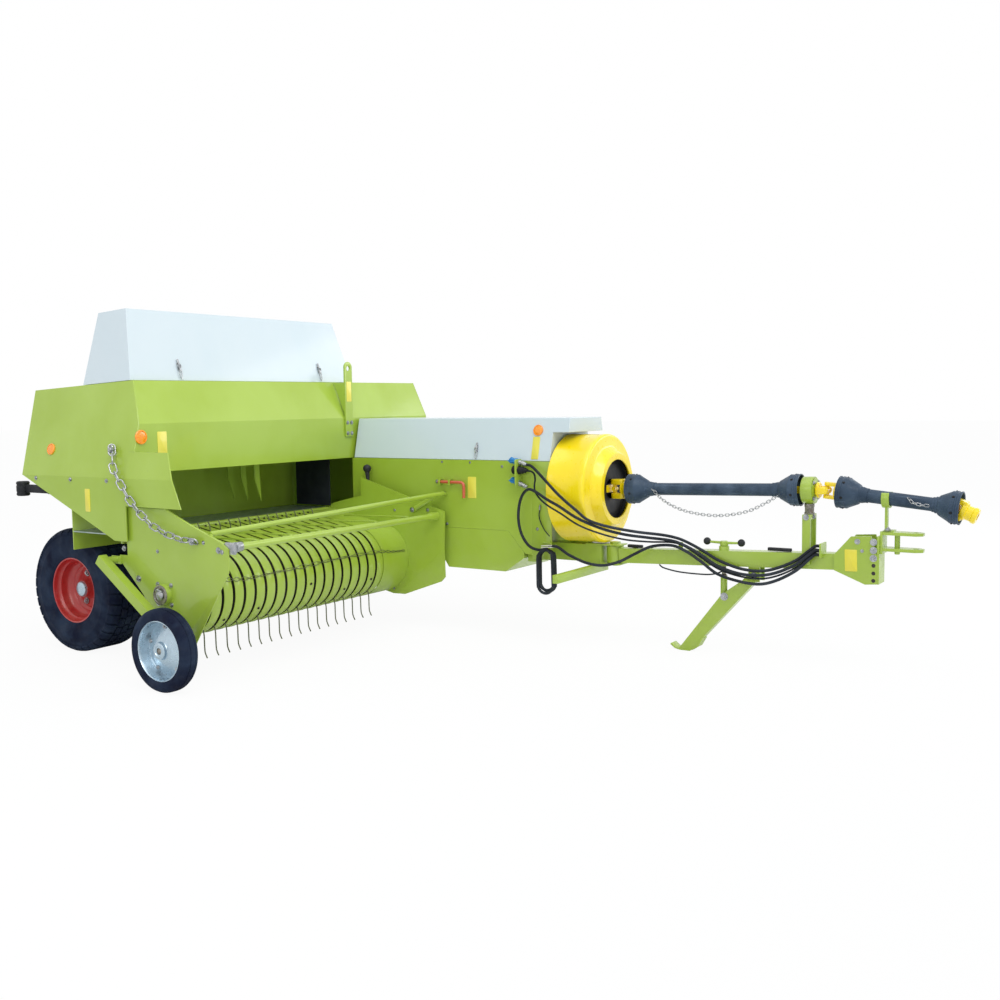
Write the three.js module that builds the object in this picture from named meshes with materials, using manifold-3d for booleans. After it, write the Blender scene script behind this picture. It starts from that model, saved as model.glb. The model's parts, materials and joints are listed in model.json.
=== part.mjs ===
// Small square baler: pickup with tined reel, feeder under a wide hood, bale chamber, flywheel and tongue.
// Millimetres, +X is forward (towards the tractor), +Y is to the machine's left, +Z is up, Z = 0 is the ground.
import * as THREE from "three";
import { mergeVertices } from "three/addons/utils/BufferGeometryUtils.js";
import Module from "manifold-3d";

const wasm = await Module();
wasm.setup();

// ---------------------------------------------------------------- driving dimensions
const GAP = 0.4; // between pieces that touch
const SHEET = 6; // sheet metal

const AXLE = { x: -1542, z: 345 };
const TYRE = { r: 345, width: 270, bead: 178 };
const LUG = { perRow: 18, long: 62, inner: 42, outer: 131 }; // tread blocks, across the tyre from its middle
const WHEEL_RIGHT_Y = -835; // wheel centre planes
const WHEEL_LEFT_Y = 1200;

const CHAMBER = { y0: 535, y1: 995, floor: 606, top: 990, rear: -2813, front: 520 };
const LINE_Y = (CHAMBER.y0 + CHAMBER.y1) / 2; // centre line of chamber, flywheel and tongue
const FEED = { x0: -1290, x1: -830 }; // the opening in the chamber's right wall

const HOOD = {
  front: -780, foldZ: 1265, frontLow: 1018, // lower front face
  topX: -870, topZ: 1485, // upper edge of the sloped front face
  rear: -1661, rearTopZ: 1446, rearLow: 995,
  right: -1150, rightTop: -1035, // end panels lean inwards
  left: 1328, leftTop: 1285,
};
const FLOOR_Z = 706; // feeder floor

const DRUM = { x0: 655, x1: 888, r: 304, z: 860, collar: 942, mouth: 163 };
const PIVOT = { x: 925, z: 495 }; // the tongue's vertical pin, below the flywheel's universal joint
const SHAFT1 = { x: PIVOT.x, z: DRUM.z, slope: 0.0247, bearing: 2020 }; // from flywheel to the bearing stand
const SHAFT2 = { x: 2108, z: 889, slope: -0.104, end: 2715 }; // from there to the tractor's end

const HINGE = { x: -930, z: 698 }; // pickup lift axis
const REEL = { x: -580, z: 429, bar: 190, tines: 18, pitch: 73.4, firstY: -1075 };
const NOSE = { x: -512, z: 423, r: 205 }; // front curve of the stripper bands
const FRONT_TUBE = { x: -95, z: 690, radius: 17, rodsAt: [1.4, 4.6, 7.4, 10.35, 13.6, 17.4] }; // in pitches of the tines
const PLATE_RIGHT_Y = -1131; // outer faces of the pickup's side plates
const PLATE_LEFT_Y = 478;
const HANK = { x: 645, y: 482, half: 56, low: 285, high: 536, thick: 40 }; // spare hose hung beside the housing
const GAUGE = { x: -410, z: 201, r: 201, y0: -1335, y1: -1245, bead: 144 };

// ---------------------------------------------------------------- finishes
const finish = (color, roughness, metalness) =>
  new THREE.MeshStandardMaterial({ color, roughness, metalness });
const GREEN = finish(0x9cc24a, 0.4, 0.1);
const WHITE = finish(0xe2eef2, 0.35, 0.05);
const YELLOW = finish(0xf2d915, 0.35, 0.05);
const RED = finish(0xc23a2c, 0.45, 0.1);
const TYRE_BLACK = finish(0x2b2f38, 0.9, 0);
const GUARD_BLACK = finish(0x31343c, 0.6, 0);
const STEEL = finish(0x9aa0a6, 0.35, 0.9);
const RUBBER = finish(0x1d1f24, 0.8, 0);

// ---------------------------------------------------------------- shapes
// A closed geometry as a solid for cutting and joining.
function solid(geometry) {
  const plain = new THREE.BufferGeometry();
  const source = geometry.index ? geometry.toNonIndexed() : geometry;
  plain.setAttribute("position", source.getAttribute("position").clone());
  const merged = mergeVertices(plain, 1e-3);
  return new wasm.Manifold(
    new wasm.Mesh({
      numProp: 3,
      vertProperties: merged.attributes.position.array,
      triVerts: new Uint32Array(merged.index.array),
    }),
  );
}

function geometryOf(manifold) {
  const mesh = manifold.getMesh();
  const geometry = new THREE.BufferGeometry();
  geometry.setAttribute("position", new THREE.BufferAttribute(mesh.vertProperties, 3));
  geometry.setIndex(new THREE.BufferAttribute(mesh.triVerts, 1));
  const flat = geometry.toNonIndexed();
  flat.computeVertexNormals();
  return flat;
}

const join = (...parts) => geometryOf(parts.map(solid).reduce((a, b) => a.add(b)));
const cut = (body, ...tools) => geometryOf(tools.map(solid).reduce((a, b) => a.subtract(b), solid(body)));
const common = (a, b) => geometryOf(solid(a).intersect(solid(b)));

const box = (x0, x1, y0, y1, z0, z1) =>
  new THREE.BoxGeometry(x1 - x0, y1 - y0, z1 - z0).translate((x0 + x1) / 2, (y0 + y1) / 2, (z0 + z1) / 2);

const shapeOf = (outline) => new THREE.Shape(outline.map(([a, b]) => new THREE.Vector2(a, b)));
const extrude = (outline, depth) =>
  new THREE.ExtrudeGeometry(shapeOf(outline), { depth, bevelEnabled: false, curveSegments: 12 });

// Prisms: the outline is [x, z], [y, z] or [x, y], swept along the axis that is left.
const prismY = (outline, y0, y1) => extrude(outline, y1 - y0).rotateX(Math.PI / 2).translate(0, y1, 0);
const AXES_YZX = new THREE.Matrix4().makeBasis(
  new THREE.Vector3(0, 1, 0), new THREE.Vector3(0, 0, 1), new THREE.Vector3(1, 0, 0),
);
const prismX = (outline, x0, x1) => extrude(outline, x1 - x0).applyMatrix4(AXES_YZX).translate(x0, 0, 0);
const prismZ = (outline, z0, z1) => extrude(outline, z1 - z0).translate(0, 0, z0);

// A round bar between two points.
function rod(from, to, radius, sides = 16) {
  const a = new THREE.Vector3(...from);
  const b = new THREE.Vector3(...to);
  const along = b.clone().sub(a);
  const turn = new THREE.Quaternion().setFromUnitVectors(new THREE.Vector3(0, 1, 0), along.clone().normalize());
  const middle = a.clone().add(b).multiplyScalar(0.5);
  return new THREE.CylinderGeometry(radius, radius, along.length(), sides)
    .applyQuaternion(turn)
    .translate(middle.x, middle.y, middle.z);
}

// A square bar between two points of one XZ plane.
function barXZ(y0, y1, from, to, height) {
  const dx = to[0] - from[0];
  const dz = to[1] - from[1];
  const length = Math.hypot(dx, dz);
  const nx = (-dz / length) * (height / 2);
  const nz = (dx / length) * (height / 2);
  const outline = [
    [from[0] - nx, from[1] - nz],
    [to[0] - nx, to[1] - nz],
    [to[0] + nx, to[1] + nz],
    [from[0] + nx, from[1] + nz],
  ];
  return prismY(outline, y0, y1);
}

// The outline of a bent strip of even width along an open path.
function strip(path, width) {
  const side = (sign) => path.map(([x, z], i) => {
    const [ax, az] = path[Math.max(i - 1, 0)];
    const [bx, bz] = path[Math.min(i + 1, path.length - 1)];
    const length = Math.hypot(bx - ax, bz - az);
    return [x - (sign * width * (bz - az)) / length / 2, z + (sign * width * (bx - ax)) / length / 2];
  });
  return [...side(1), ...side(-1).reverse()];
}

// A body of revolution: the profile is [radius, along], the axis is Y.
const lathe = (profile, segments) =>
  new THREE.LatheGeometry(profile.map(([r, s]) => new THREE.Vector2(r, s)), segments);
const ring = (rIn, rOut, s0, s1, segments) =>
  lathe([[rIn, s0], [rOut, s0], [rOut, s1], [rIn, s1], [rIn, s0]], segments);
const AXIS_X = (geometry) => geometry.rotateZ(-Math.PI / 2);
const AXIS_Z = (geometry) => geometry.rotateX(Math.PI / 2);

// A smooth tube through hand-placed points.
function tube(points, radius, sides, steps) {
  const section = new THREE.Shape();
  for (let i = 0; i < sides; i += 1) {
    const angle = (i / sides) * 2 * Math.PI;
    const at = [radius * Math.cos(angle), radius * Math.sin(angle)];
    if (i === 0) section.moveTo(...at);
    else section.lineTo(...at);
  }
  const path = new THREE.CatmullRomCurve3(points.map((p) => new THREE.Vector3(...p)));
  return new THREE.ExtrudeGeometry(section, { steps, extrudePath: path });
}

const part = new THREE.Group();
part.name = "square_baler";

function add(name, geometry, material, at = [0, 0, 0]) {
  const mesh = new THREE.Mesh(geometry, material);
  mesh.name = name;
  mesh.position.set(...at);
  part.add(mesh);
  return mesh;
}

// ---------------------------------------------------------------- wheels
// Profiles run along the axle, outwards positive; the left and right wheels are mirror images.
function mainTyre() {
  const half = TYRE.width / 2;
  const carcass = lathe([
    [TYRE.bead + GAP, -half + 20],
    [TYRE.bead + 60, -half],
    [TYRE.r - 50, -half],
    [TYRE.r - 22, -half + 14],
    [TYRE.r - 12, -half + 46],
    [TYRE.r - 12, half - 46],
    [TYRE.r - 22, half - 14],
    [TYRE.r - 50, half],
    [TYRE.bead + 60, half],
    [TYRE.bead + GAP, half - 20],
    [TYRE.bead + GAP, -half + 20],
  ], 32);
  // Two staggered rows of shoulder lugs; a lug of the first row stands flat on the ground.
  const lugs = [];
  for (let k = 0; k < 2 * LUG.perRow; k += 1) {
    const side = k % 2 === 0 ? 1 : -1;
    const depth = 40;
    lugs.push(new THREE.BoxGeometry(LUG.long, LUG.outer - LUG.inner, depth)
      .translate(0, (side * (LUG.outer + LUG.inner)) / 2, depth / 2 - TYRE.r)
      .rotateY((k * Math.PI) / LUG.perRow));
  }
  return join(carcass, ...lugs);
}

function mainRim(side) {
  const shell = lathe([
    [156, -114], [TYRE.bead, -114], [TYRE.bead, -106], [164, -100], [164, 100], [TYRE.bead, 106], [TYRE.bead, 114], [156, 114], [156, -114],
  ], 32);
  const disc = ring(40, 158, side * 8 - 5, side * 8 + 5, 32);
  const hub = ring(31, 62, side * 30 - 55, side * 30 + 35, 18);
  const cap = new THREE.CylinderGeometry(45, 45, 12, 20).translate(0, side * 71, 0);
  return join(shell, disc, hub, cap);
}

for (const [name, y, side] of [["right", WHEEL_RIGHT_Y, -1], ["left", WHEEL_LEFT_Y, 1]]) {
  add(`tyre_${name}`, mainTyre(), TYRE_BLACK, [AXLE.x, y, AXLE.z]);
  add(`rim_${name}`, mainRim(side), RED, [AXLE.x, y, AXLE.z]);
}

// ---------------------------------------------------------------- axle and frame
{
  const spindleRight = rod([AXLE.x, -640, AXLE.z], [AXLE.x, WHEEL_RIGHT_Y - 60, AXLE.z], 30.5, 32);
  const spindleLeft = rod([AXLE.x, 1000, AXLE.z], [AXLE.x, WHEEL_LEFT_Y + 60, AXLE.z], 30.5, 32);
  const beam = box(AXLE.x - 45, AXLE.x + 45, -660, 1030, AXLE.z - 45, AXLE.z + 45);
  const legs = [-560, 560, 950].map((y) => box(AXLE.x - 35, AXLE.x + 35, y - 20, y + 20, AXLE.z, CHAMBER.floor - SHEET - GAP));
  // Two long sills under the chamber, and a cross sill that carries the feeder and the hood.
  const sills = [560, 950].map((y) => box(-1500, 380, y - 20, y + 20, 520, CHAMBER.floor - SHEET - GAP));
  const cross = box(-1340, -1298, -600, 970, 540, CHAMBER.floor - SHEET - GAP);
  const post = box(-1340, -1298, -600, -560, 540, FLOOR_Z - SHEET - GAP);
  const bolster = box(AXLE.x - 35, -1298, 540, 580, 540, CHAMBER.floor - SHEET - GAP);
  add("axle_frame", join(beam, spindleRight, spindleLeft, ...legs, ...sills, cross, post, bolster), GREEN);
}

// ---------------------------------------------------------------- bale chamber
add("chamber_floor", box(CHAMBER.rear, CHAMBER.front, CHAMBER.y0, CHAMBER.y1, CHAMBER.floor - SHEET, CHAMBER.floor), GREEN);
add(
  "chamber_wall_left",
  box(CHAMBER.rear, CHAMBER.front, CHAMBER.y1 - SHEET, CHAMBER.y1, CHAMBER.floor + GAP, CHAMBER.top),
  GREEN,
);
add(
  "chamber_wall_right",
  box(CHAMBER.rear, FEED.x0, CHAMBER.y0, CHAMBER.y0 + SHEET, CHAMBER.floor + GAP, CHAMBER.top),
  GREEN,
);
{
  // Tension rails along the open tail, drawn together by two yokes.
  const rails = [CHAMBER.y0 + 70, LINE_Y, CHAMBER.y1 - 70].map((y) =>
    box(CHAMBER.rear, CHAMBER.rear + 960, y - 20, y + 20, CHAMBER.top + 10, CHAMBER.top + 50));
  const bridge = box(CHAMBER.rear + 905, CHAMBER.rear + 950, CHAMBER.y0, CHAMBER.y1, CHAMBER.top + SHEET - 1, CHAMBER.top + 60);
  const tie = box(CHAMBER.rear + 120, CHAMBER.rear + 170, CHAMBER.y0 + 30, CHAMBER.y1 - 30, CHAMBER.top + 45, CHAMBER.top + 95);
  const roof = box(CHAMBER.rear + 900, FEED.x0, CHAMBER.y0, CHAMBER.y1, CHAMBER.top + GAP, CHAMBER.top + SHEET);
  add("chamber_roof", join(roof, ...rails, bridge, tie), GREEN);
}
for (const [name, y] of [["right", CHAMBER.y0 - 28], ["left", CHAMBER.y1 + 28]]) {
  // An upright screw beside the chamber with its crank on top, pulling the rails down.
  const x = CHAMBER.rear + 145;
  const inner = y < LINE_Y ? CHAMBER.y0 - GAP : CHAMBER.y1 + GAP;
  const foot = box(x - 30, x + 30, Math.min(y - 22, inner), Math.max(y + 22, inner), 640, 700);
  const screw = rod([x, y, 690], [x, y, 1160], 12);
  const crank = rod([x, y, 1150], [x - 150, y, 1150], 9);
  const grip = rod([x - 145, y, 1145], [x - 145, y, 1240], 12);
  add(`tension_crank_${name}`, join(foot, screw, crank, grip), STEEL);
}

// ---------------------------------------------------------------- front housing
{
  const low = CHAMBER.floor + 14;
  const outline = [
    [-776, low], [367, low], [477, 496], [CHAMBER.front + 5, 490], [CHAMBER.front + 5, HOOD.frontLow], [-776, HOOD.frontLow],
  ];
  const wall = prismY(outline, CHAMBER.y0 - SHEET - GAP, CHAMBER.y0 - GAP);
  add("housing_wall_right", wall, GREEN);
  add("housing_wall_left", prismY(outline, CHAMBER.y1 + GAP, CHAMBER.y1 + SHEET + GAP), GREEN);
}
add("drive_block", box(60, 480, CHAMBER.y0 + 60, CHAMBER.y1 - 60, CHAMBER.floor + GAP, 960), STEEL);
{
  const lip = CHAMBER.floor + 14 - GAP;
  const outline = [[-100, lip], [-100, 452], [-52, 385], [345, 385], [470, 470], [470, lip]];
  const tray = prismY(outline, CHAMBER.y0 - SHEET, CHAMBER.y1 + SHEET);
  const sillRoom = [560, 950].map((y) => box(-200, 381, y - 20 - GAP, y + 20 + GAP, 519, 620));
  const floorRoom = box(-101, 471, CHAMBER.y0 - GAP, CHAMBER.y1 + GAP, 600 - GAP, 620);
  const wallRoom = [CHAMBER.y0 - 8, CHAMBER.y1 - 1].map((y) =>
    prismY([[366, lip], [476, 495.6], [526, 489.6], [526, 640], [366, 640]], y, y + 9));
  add("underbody_box", cut(tray, floorRoom, ...sillRoom, ...wallRoom), GREEN);
}
{
  // The forked nose that carries the tongue pin, and the crossbar under it.
  const beam = box(475, PIVOT.x - 62, LINE_Y - 50, LINE_Y + 50, 448, 545);
  const plates = [[544.5, 552], [438, 446]].map(([z0, z1]) =>
    box(PIVOT.x - 160, PIVOT.x + 50, LINE_Y - 50, LINE_Y + 50, z0, z1));
  const spine = box(PIVOT.x - 160, PIVOT.x - 62, LINE_Y - 50, LINE_Y + 50, 438, 552);
  const crossbar = box(829, 860, 232, LINE_Y + 40, 396, 440);
  const rise = box(475, 525, LINE_Y - 200, LINE_Y + 200, 448, 488);
  const front = box(CHAMBER.front + GAP, CHAMBER.front + SHEET, CHAMBER.y0, CHAMBER.y1, 470, HOOD.frontLow);
  const shaftHole = AXIS_X(new THREE.CylinderGeometry(48, 48, 80, 24)).translate(CHAMBER.front, LINE_Y, DRUM.z);
  const pin = AXIS_Z(new THREE.CylinderGeometry(20, 20, 130, 24)).translate(PIVOT.x, LINE_Y, PIVOT.z);
  const head = AXIS_Z(new THREE.CylinderGeometry(30, 30, 12, 6)).translate(PIVOT.x, LINE_Y, 558);
  const cheeks = [[CHAMBER.y0 - SHEET - GAP, CHAMBER.y0 + 2], [CHAMBER.y1 - 2, CHAMBER.y1 + SHEET + GAP]].map(([y0, y1]) =>
    box(CHAMBER.front + 5 + GAP, DRUM.x0 - 5, y0, y1, 470, HOOD.frontLow));
  const hoseHook = rod([CHAMBER.front + 3, 560, 566], [HANK.x + 20, HANK.y + 22, 566], 5, 10);
  const frame = cut(join(beam, spine, ...plates, crossbar, rise, front, ...cheeks, hoseHook), shaftHole);
  add("nose_frame", join(frame, pin, head), GREEN);
}

// ---------------------------------------------------------------- hood
// The end panels lean, so everything that spans the hood is trimmed by their inner planes.
const HOOD_RISE = HOOD.topZ - HOOD.rearLow;
const hoodRightAt = (z) => HOOD.right + ((z - HOOD.rearLow) / HOOD_RISE) * (HOOD.rightTop - HOOD.right);
const hoodLeftAt = (z) => HOOD.left + ((z - HOOD.rearLow) / HOOD_RISE) * (HOOD.leftTop - HOOD.left);

function trimToHood(geometry) {
  const inset = SHEET + GAP;
  const low = 400;
  const high = 1700;
  const room = prismX([
    [hoodRightAt(low) + inset, low],
    [hoodLeftAt(low) - inset, low],
    [hoodLeftAt(high) - inset, high],
    [hoodRightAt(high) + inset, high],
  ], -3000, 3000);
  return common(geometry, room);
}

{
  const t = SHEET;
  const front = [
    [HOOD.front, HOOD.frontLow], [HOOD.front, HOOD.foldZ], [HOOD.topX, HOOD.topZ],
    [HOOD.topX - t, HOOD.topZ - t], [HOOD.front - t, HOOD.foldZ - 2], [HOOD.front - t, HOOD.frontLow],
  ];
  add("hood_front", trimToHood(prismY(front, -1300, 1400)), GREEN);
  const rear = box(HOOD.rear, HOOD.rear + t, -1300, 1400, HOOD.rearLow, HOOD.rearTopZ - t - GAP);
  const tailRoom = box(HOOD.rear - 50, HOOD.rear + 50, CHAMBER.y0 - 20, CHAMBER.y1 + 20, 900, 1045);
  add("hood_rear", trimToHood(cut(rear, tailRoom)), GREEN);
  const top = [
    [HOOD.rear, HOOD.rearTopZ], [HOOD.topX - t - 1, HOOD.topZ - 1], [HOOD.topX - t - 1, HOOD.topZ - 1 - t], [HOOD.rear, HOOD.rearTopZ - t],
  ];
  const forkWay = box(-1220, -930, -820, 560, 1400, 1600);
  add("hood_top", trimToHood(cut(prismY(top, -1300, 1400), forkWay)), GREEN);
}

// An end panel is the leaning sheet between the hood's profile, with a flat skirt below it.
function endPanel(side, skirt) {
  const yAt = side < 0 ? hoodRightAt : hoodLeftAt;
  const profile = [
    [HOOD.rear, HOOD.rearLow], [HOOD.rear, HOOD.rearTopZ], [HOOD.topX, HOOD.topZ], [HOOD.front, HOOD.foldZ], [HOOD.front, HOOD.rearLow],
  ];
  const low = HOOD.rearLow;
  const high = 1500;
  const slab = prismX([
    [yAt(low), low], [yAt(low) - side * SHEET, low], [yAt(high) - side * SHEET, high], [yAt(high), high],
  ], -1700, -700);
  const lean = common(prismY(profile, -1400, 1400), slab);
  const face = yAt(low);
  const flat = prismY(skirt, Math.min(face, face - side * SHEET), Math.max(face, face - side * SHEET));
  return join(lean, flat);
}
const SEAM_X = -822; // rear edge of the pickup plate, front edge of the skirt
add("hood_end_right", endPanel(-1, [
  [HOOD.rear, HOOD.rearLow + 1], [HOOD.front, HOOD.rearLow + 1], [HOOD.front, HOOD.rearLow - 4], [SEAM_X, HOOD.rearLow - 4], [SEAM_X, 678], [-915, 678],
]), GREEN);
add("hood_end_left", endPanel(1, [
  [HOOD.rear, HOOD.rearLow + 1], [HOOD.front, HOOD.rearLow + 1], [HOOD.front, 860], [HOOD.rear, 860],
]), GREEN);
{
  // The side deflector stands forward of the end panel, folded along the same line.
  const yTop = hoodRightAt(1126);
  const upper = common(
    prismY([[SEAM_X + 8, HOOD.rearLow], [SEAM_X + 8, 1126], [-528, 1126], [-470, HOOD.rearLow]], -1400, -1000),
    prismX([[HOOD.right - 1, HOOD.rearLow], [HOOD.right - 1 - SHEET, HOOD.rearLow], [yTop - 1 - SHEET, 1126], [yTop - 1, 1126]], -900, -300),
  );
  const lower = prismY([[SEAM_X + 8, HOOD.rearLow + 1], [SEAM_X + 8, 858], [-412, 856], [-470, HOOD.rearLow + 1]], HOOD.right - 1 - SHEET, HOOD.right - 1);
  add("side_deflector", join(upper, lower), GREEN);
}
{
  // Flat lifting plate with its eye, standing on the front face of the hood.
  const y0 = 468;
  const y1 = 536;
  const middle = (y0 + y1) / 2;
  const plate = join(
    box(HOOD.front + GAP, HOOD.front + 12, y0, y1, 1150, 1573),
    AXIS_X(new THREE.CylinderGeometry(34, 34, 12 - GAP, 32)).translate(HOOD.front + 6 + GAP / 2, middle, 1573),
  );
  const eye = AXIS_X(new THREE.CylinderGeometry(16, 16, 60, 24)).translate(HOOD.front, middle, 1567);
  const gusset = prismY([[HOOD.front + 6, 1266 + 12], [HOOD.front + 6, 1480], [HOOD.topX + 6, 1482]], y0, y0 + 8);
  add("lifting_plate", join(cut(plate, eye), gusset), GREEN);
}

// ---------------------------------------------------------------- covers (lids)
const TOP_COVER = { x0: -1265, x1: -892, topX0: -1208, topX1: -990, y0: -1035, y1: 680, topY0: -965, topY1: 612, z: 1855 };
const hoodTopAt = (x) => HOOD.topZ + ((x - HOOD.topX) / (HOOD.topX - HOOD.rear)) * (HOOD.topZ - HOOD.rearTopZ);

// A shell like an upturned tray, from an outer loft and the same loft moved in by the sheet.
function frustum(x0, x1, y0, y1, zAt, tx0, tx1, ty0, ty1, tzAt) {
  const corners = [
    [x0, y0, zAt(x0)], [x1, y0, zAt(x1)], [x1, y1, zAt(x1)], [x0, y1, zAt(x0)],
    [tx0, ty0, tzAt(tx0)], [tx1, ty0, tzAt(tx1)], [tx1, ty1, tzAt(tx1)], [tx0, ty1, tzAt(tx0)],
  ];
  const faces = [
    [0, 2, 1], [0, 3, 2], [4, 5, 6], [4, 6, 7], [0, 1, 5], [0, 5, 4],
    [1, 2, 6], [1, 6, 5], [2, 3, 7], [2, 7, 6], [3, 0, 4], [3, 4, 7],
  ];
  const positions = new Float32Array(faces.flat().flatMap((i) => corners[i]));
  const geometry = new THREE.BufferGeometry();
  geometry.setAttribute("position", new THREE.BufferAttribute(positions, 3));
  return geometry;
}

{
  const c = TOP_COVER;
  const t = SHEET;
  const base = (x) => hoodTopAt(x) + 2;
  const top = (x) => c.z + (x - c.topX1) * 0.06;
  const outer = frustum(c.x0, c.x1, c.y0, c.y1, base, c.topX0, c.topX1, c.topY0, c.topY1, top);
  const inner = frustum(
    c.x0 + t, c.x1 - t, c.y0 + t, c.y1 - t, (x) => base(x) - 1,
    c.topX0 + t, c.topX1 - t, c.topY0 + t, c.topY1 - t, (x) => top(x) - t,
  );
  add("top_cover", cut(outer, inner), WHITE);
}
const FRONT_COVER = { x0: -760, x1: 645, noseX: 745, z0: 1019.5, z1: 1258, noseZ: 1178, lean: 55 };
{
  const c = FRONT_COVER;
  const t = SHEET;
  const outline = (inset, drop) => [
    [CHAMBER.y0 - SHEET + inset, c.z0 - drop], [CHAMBER.y1 + SHEET - inset, c.z0 - drop],
    [CHAMBER.y1 + SHEET - c.lean - inset, c.z1 - inset], [CHAMBER.y0 - SHEET + c.lean + inset, c.z1 - inset],
  ];
  const outer = prismX(outline(0, 0), c.x0, c.noseX);
  const inner = prismX(outline(t, 5), c.x0 + t, c.noseX - t);
  const shell = cut(outer, inner);
  const underNose = box(c.x1, c.noseX + 50, 300, 1200, 900, c.noseZ);
  const front = common(box(c.x1 - t, c.x1, 300, 1200, c.z0, c.noseZ + t), prismX(outline(1, 0), 0, 900));
  add("front_cover", join(cut(shell, underNose), front), WHITE);
}

// ---------------------------------------------------------------- feeder
const FORK = { x: -1080, y: -100, z: 1640 };
add("feeder_floor", box(FEED.x0, -968, -1118, CHAMBER.y0 - SHEET - 1, FLOOR_Z - SHEET, FLOOR_Z), STEEL);
{
  const back = box(FEED.x0 - SHEET - GAP, FEED.x0 - GAP, -1118, CHAMBER.y0 - 1, FLOOR_Z - 100, 1400);
  const shaft = rod([-1216, FORK.y, FORK.z], [-1010, FORK.y, FORK.z], 14.6);
  const shelf = box(FEED.x0 - SHEET - GAP, -1195, FORK.y - 30, FORK.y + 30, 1380, 1400);
  const stand = box(-1218, -1195, FORK.y - 30, FORK.y + 30, 1380, FORK.z + 30);
  add("feeder_back", join(trimToHood(back), shelf, stand, shaft), GREEN);
}
{
  // The feeder fork hangs from its crank inside the top cover; its tines sweep the crop sideways.
  const arm = box(FORK.x - 20, FORK.x + 20, FORK.y - 20, FORK.y + 20, 1120, FORK.z + 30);
  const head = box(FORK.x - 130, FORK.x + 130, FORK.y - 24, FORK.y + 24, 1090, 1130);
  const tine = (x) => prismX([
    [FORK.y - 26, 1100], [FORK.y - 18, 920], [FORK.y + 30, 790], [FORK.y + 22, 950], [FORK.y + 20, 1100],
  ], x - 4, x + 4);
  const tines = [-110, 0, 110].map((dx) => tine(FORK.x + dx));
  const bore = AXIS_X(new THREE.CylinderGeometry(15, 15, 100, 20)).translate(FORK.x, FORK.y, FORK.z);
  add("feeder_fork", cut(join(arm, head, ...tines), bore), GREEN);
}
{
  const y = CHAMBER.y0 - 80;
  add("feed_curtain", box(-1180, -900, y - 4, y + 4, 722, 1010), RUBBER);
}

// ---------------------------------------------------------------- flywheel and its guard
{
  const outer = [
    [0, DRUM.x0], [DRUM.r - 12, DRUM.x0], [DRUM.r, DRUM.x0 + 12], [DRUM.r, DRUM.x1 - 16], [DRUM.r - 16, DRUM.x1],
    [238, DRUM.x1], [222, DRUM.x1 + 12], [196, DRUM.collar], [0, DRUM.collar],
  ];
  const inner = [
    [0, DRUM.x0 - 1], [DRUM.r - 8, DRUM.x0 - 1], [DRUM.r - 8, DRUM.x1 - 14], [DRUM.r - 24, DRUM.x1 - 8],
    [224, DRUM.x1 - 8], [188, DRUM.collar - 12], [DRUM.mouth, DRUM.collar - 12], [DRUM.mouth, DRUM.collar + 1], [0, DRUM.collar + 1],
  ];
  const shell = cut(lathe(outer, 36), lathe(inner, 36));
  const back = ring(60, DRUM.r - 4, DRUM.x0, DRUM.x0 + 6, 36);
  const arms = [20, 160, 270].map((degrees) => {
    const angle = (degrees * Math.PI) / 180;
    return new THREE.BoxGeometry(50, DRUM.x0 - CHAMBER.front - SHEET, 20)
      .translate(0, (DRUM.x0 + CHAMBER.front + SHEET) / 2 + 3, 0)
      .translate(200 * Math.cos(angle), 0, 200 * Math.sin(angle));
  });
  const guard = AXIS_X(join(shell, back, ...arms)).translate(0, LINE_Y, DRUM.z);
  add("flywheel_guard", guard, YELLOW);
}
{
  const disc = ring(0.01, 270, 700, 790, 36);
  const shaft = new THREE.CylinderGeometry(34, 34, 320, 24).translate(0, 690, 0);
  const yoke = new THREE.BoxGeometry(96, 38, 50).translate(0, 869, 0);
  add("flywheel", AXIS_X(join(disc, shaft, yoke)), finish(0x22252c, 0.6, 0.4), [0, LINE_Y, DRUM.z]);
}

// ---------------------------------------------------------------- tongue and hitch
const TONGUE = { slope: 0.0374, half: 40, x1: 2165 };
const tongueZ = (x) => 490.6 + TONGUE.slope * (x - PIVOT.x);
const JACK = { x: 1567, lowZ: 307, hubZ: 594 };
{
  const start = PIVOT.x + 40;
  const beam = barXZ(LINE_Y - TONGUE.half, LINE_Y + TONGUE.half, [start, tongueZ(start)], [TONGUE.x1, tongueZ(TONGUE.x1)], 80);
  const knuckle = AXIS_Z(new THREE.CylinderGeometry(48, 48, 94, 32)).translate(PIVOT.x, LINE_Y, PIVOT.z);
  const pinHole = AXIS_Z(new THREE.CylinderGeometry(20.4, 20.4, 200, 24)).translate(PIVOT.x, LINE_Y, PIVOT.z);
  const jackHole = AXIS_Z(new THREE.CylinderGeometry(19, 19, 300, 20)).translate(JACK.x, LINE_Y, tongueZ(JACK.x));
  const collar = rod([JACK.x, LINE_Y, 540], [JACK.x, LINE_Y, 577], 27, 16);
  const lugs = [-1, 1].map((side) => box(1716, 1776, LINE_Y + side * 36 - 5, LINE_Y + side * 36 + 5, 405, 500));
  const hosePost = box(1322, 1346, LINE_Y - 34, LINE_Y - 28, tongueZ(1330) + 36, 588);
  const hoseBracket = box(2096, 2104, LINE_Y - 80, LINE_Y + 15, 556, 628);
  add("tongue_beam", cut(join(beam, knuckle, collar, ...lugs, hosePost, hoseBracket), pinHole, jackHole), GREEN);
}
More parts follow.
